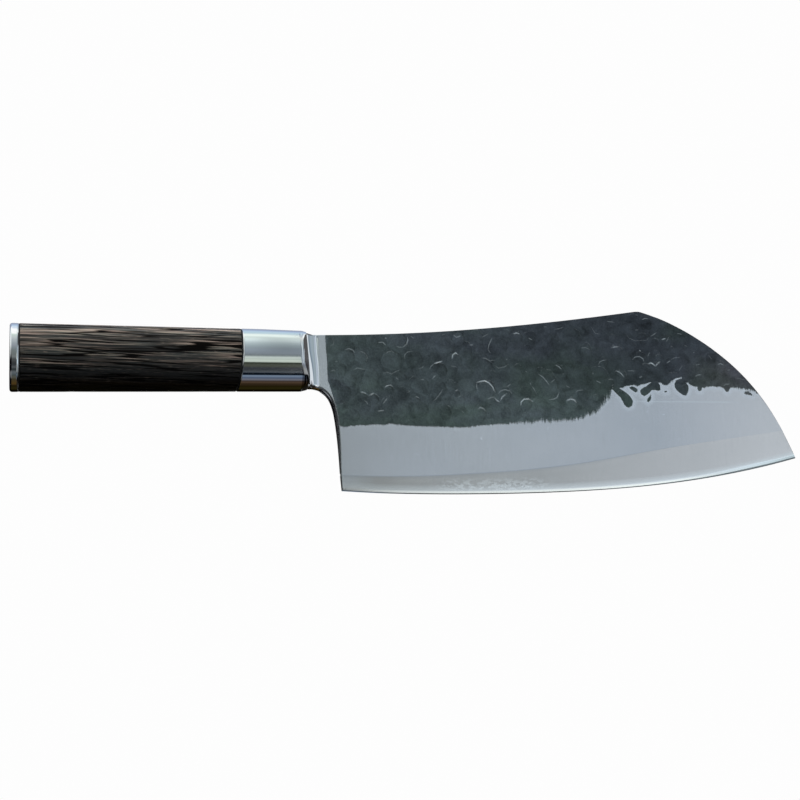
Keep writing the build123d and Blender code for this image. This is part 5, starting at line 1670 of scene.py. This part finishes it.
# two large soft panels that only the far sides of the knife look into
fill_a = wmath("MULTIPLY", wmath("MULTIPLY", wstep(WX, -0.54, -0.42, 1.0, 0.0), wstep(WY, -0.50, -0.38, 1.0, 0.0)), wstep(WZ, -0.36, -0.24, 1.0, 0.0))
fill_b = wmath("MULTIPLY", wmath("MULTIPLY", wstep(WX, 0.40, 0.52), wstep(WY, 0.38, 0.50)), wstep(WZ, 0.10, 0.30, 1.0, 0.0))
glossy = wmix(wmath("MAXIMUM", fill_a, fill_b), glossy, (0.46, 0.48, 0.50, 1))
soft = wramp(WZ, -1.0, 1.0, [(-1.0, (0.012, 0.012, 0.012, 1)), (-0.1, (0.02, 0.02, 0.02, 1)), (0.15, (0.06, 0.062, 0.066, 1)),
                             (0.6, (0.22, 0.225, 0.235, 1)), (1.0, (0.35, 0.36, 0.38, 1))])
path = wn("ShaderNodeLightPath")
bg_g, bg_s, bg_c = wn("ShaderNodeBackground"), wn("ShaderNodeBackground"), wn("ShaderNodeBackground")
wt.links.new(glossy, bg_g.inputs[0])
wt.links.new(soft, bg_s.inputs[0])
bg_c.inputs[0].default_value = (0.985, 0.985, 0.985, 1)
m1, m2 = wn("ShaderNodeMixShader"), wn("ShaderNodeMixShader")
wt.links.new(path.outputs["Is Glossy Ray"], m1.inputs[0])
wt.links.new(bg_s.outputs[0], m1.inputs[1])
wt.links.new(bg_g.outputs[0], m1.inputs[2])
wt.links.new(path.outputs["Is Camera Ray"], m2.inputs[0])
wt.links.new(m1.outputs[0], m2.inputs[1])
wt.links.new(bg_c.outputs[0], m2.inputs[2])
wo = wn("ShaderNodeOutputWorld")
wt.links.new(m2.outputs[0], wo.inputs[0])

# floor: a wide shallow disc of rings, faded into the backdrop at its rim
fb = Builder()
nf = 96
ang = np.arange(nf) / nf * 2 * math.pi
radii = [0.001, 300, 700, 1300, 2200, 3600]
fr = [np.stack([160 + r * np.cos(ang), r * np.sin(ang), np.full(nf, -300.0)], 1) for r in radii]
fi = fb.add(np.stack(fr))
fb.quads(np.concatenate([fi, fi[:, :1]], 1))
floor = fb.object("studio_floor")
fm = Mat("pale_floor")
fco = fm.coords()
dist = fm.n("ShaderNodeVectorMath", operation="LENGTH")
fm.link(fm.mapping(fco, (1, 1, 0), loc=(-0.16, 0, 0)), dist.inputs[0])
fade = fm.range(dist.outputs["Value"], 1.4, 3.4, 0.0, 1.0, "SMOOTHSTEP")
grain_f = fm.noise(fm.mapping(fco, (30, 30, 30)), 1.0, 4.0)
fm.set(Base_Color=fm.mix(grain_f, (0.36, 0.36, 0.358, 1), (0.40, 0.40, 0.398, 1)), Roughness=0.9)
fm.set(Emission_Color=(0.97, 0.97, 0.965, 1), Emission_Strength=0.72)
tr = fm.n("ShaderNodeBsdfTransparent")
mx = fm.n("ShaderNodeMixShader")
fm.link(fade, mx.inputs[0])
fm.link(fm.bsdf.outputs[0], mx.inputs[1])
fm.link(tr.outputs[0], mx.inputs[2])
fm.link(mx.outputs[0], fm.out.inputs[0])
floor.data.materials.append(fm.m)
floor.visible_glossy = False
floor.visible_diffuse = False


def area(name, loc, target, size, power, color=(1, 1, 1)):
    l = bpy.data.lights.new(name, "AREA")
    l.shape, l.size, l.energy, l.color = "DISK", size, power, color
    o = bpy.data.objects.new(name, l)
    o.location = loc
    o.rotation_mode = "QUATERNION"
    o.rotation_quaternion = (Vector(target) - Vector(loc)).to_track_quat("-Z", "Y")
    scene.collection.objects.link(o)
    return o


key = area("softbox_top", (0.12, -0.28, 1.05), (0.12, 0, 0), 0.45, 17.0)
back = area("softbox_back", (0.25, 0.85, 0.75), (0.16, 0, 0), 0.8, 16.0)
key.visible_glossy = back.visible_glossy = False

# camera, 13 degrees towards the butt and 12 degrees below the handle axis
ps, ep, ro = math.radians(13), math.radians(12), math.radians(2.35)
f = Vector((math.sin(ps) * math.cos(ep), math.cos(ps) * math.cos(ep), math.sin(ep)))
r = Vector((math.cos(ps), -math.sin(ps), 0))
u = r.cross(f)
c, s = math.cos(ro), math.sin(ro)
r2, u2 = c * r - s * u, s * r + c * u
cam_data = bpy.data.cameras.new("camera")
cam_data.lens, cam_data.sensor_width = 74.25, 36.0
cam_data.clip_start, cam_data.clip_end = 0.02, 50
cam = bpy.data.objects.new("camera", cam_data)
scene.collection.objects.link(cam)
cam.matrix_world = Matrix(((r2.x, u2.x, -f.x, 0.0071116), (r2.y, u2.y, -f.y, -0.64817070),
                           (r2.z, u2.z, -f.z, -0.15745191), (0, 0, 0, 1)))
scene.camera = cam
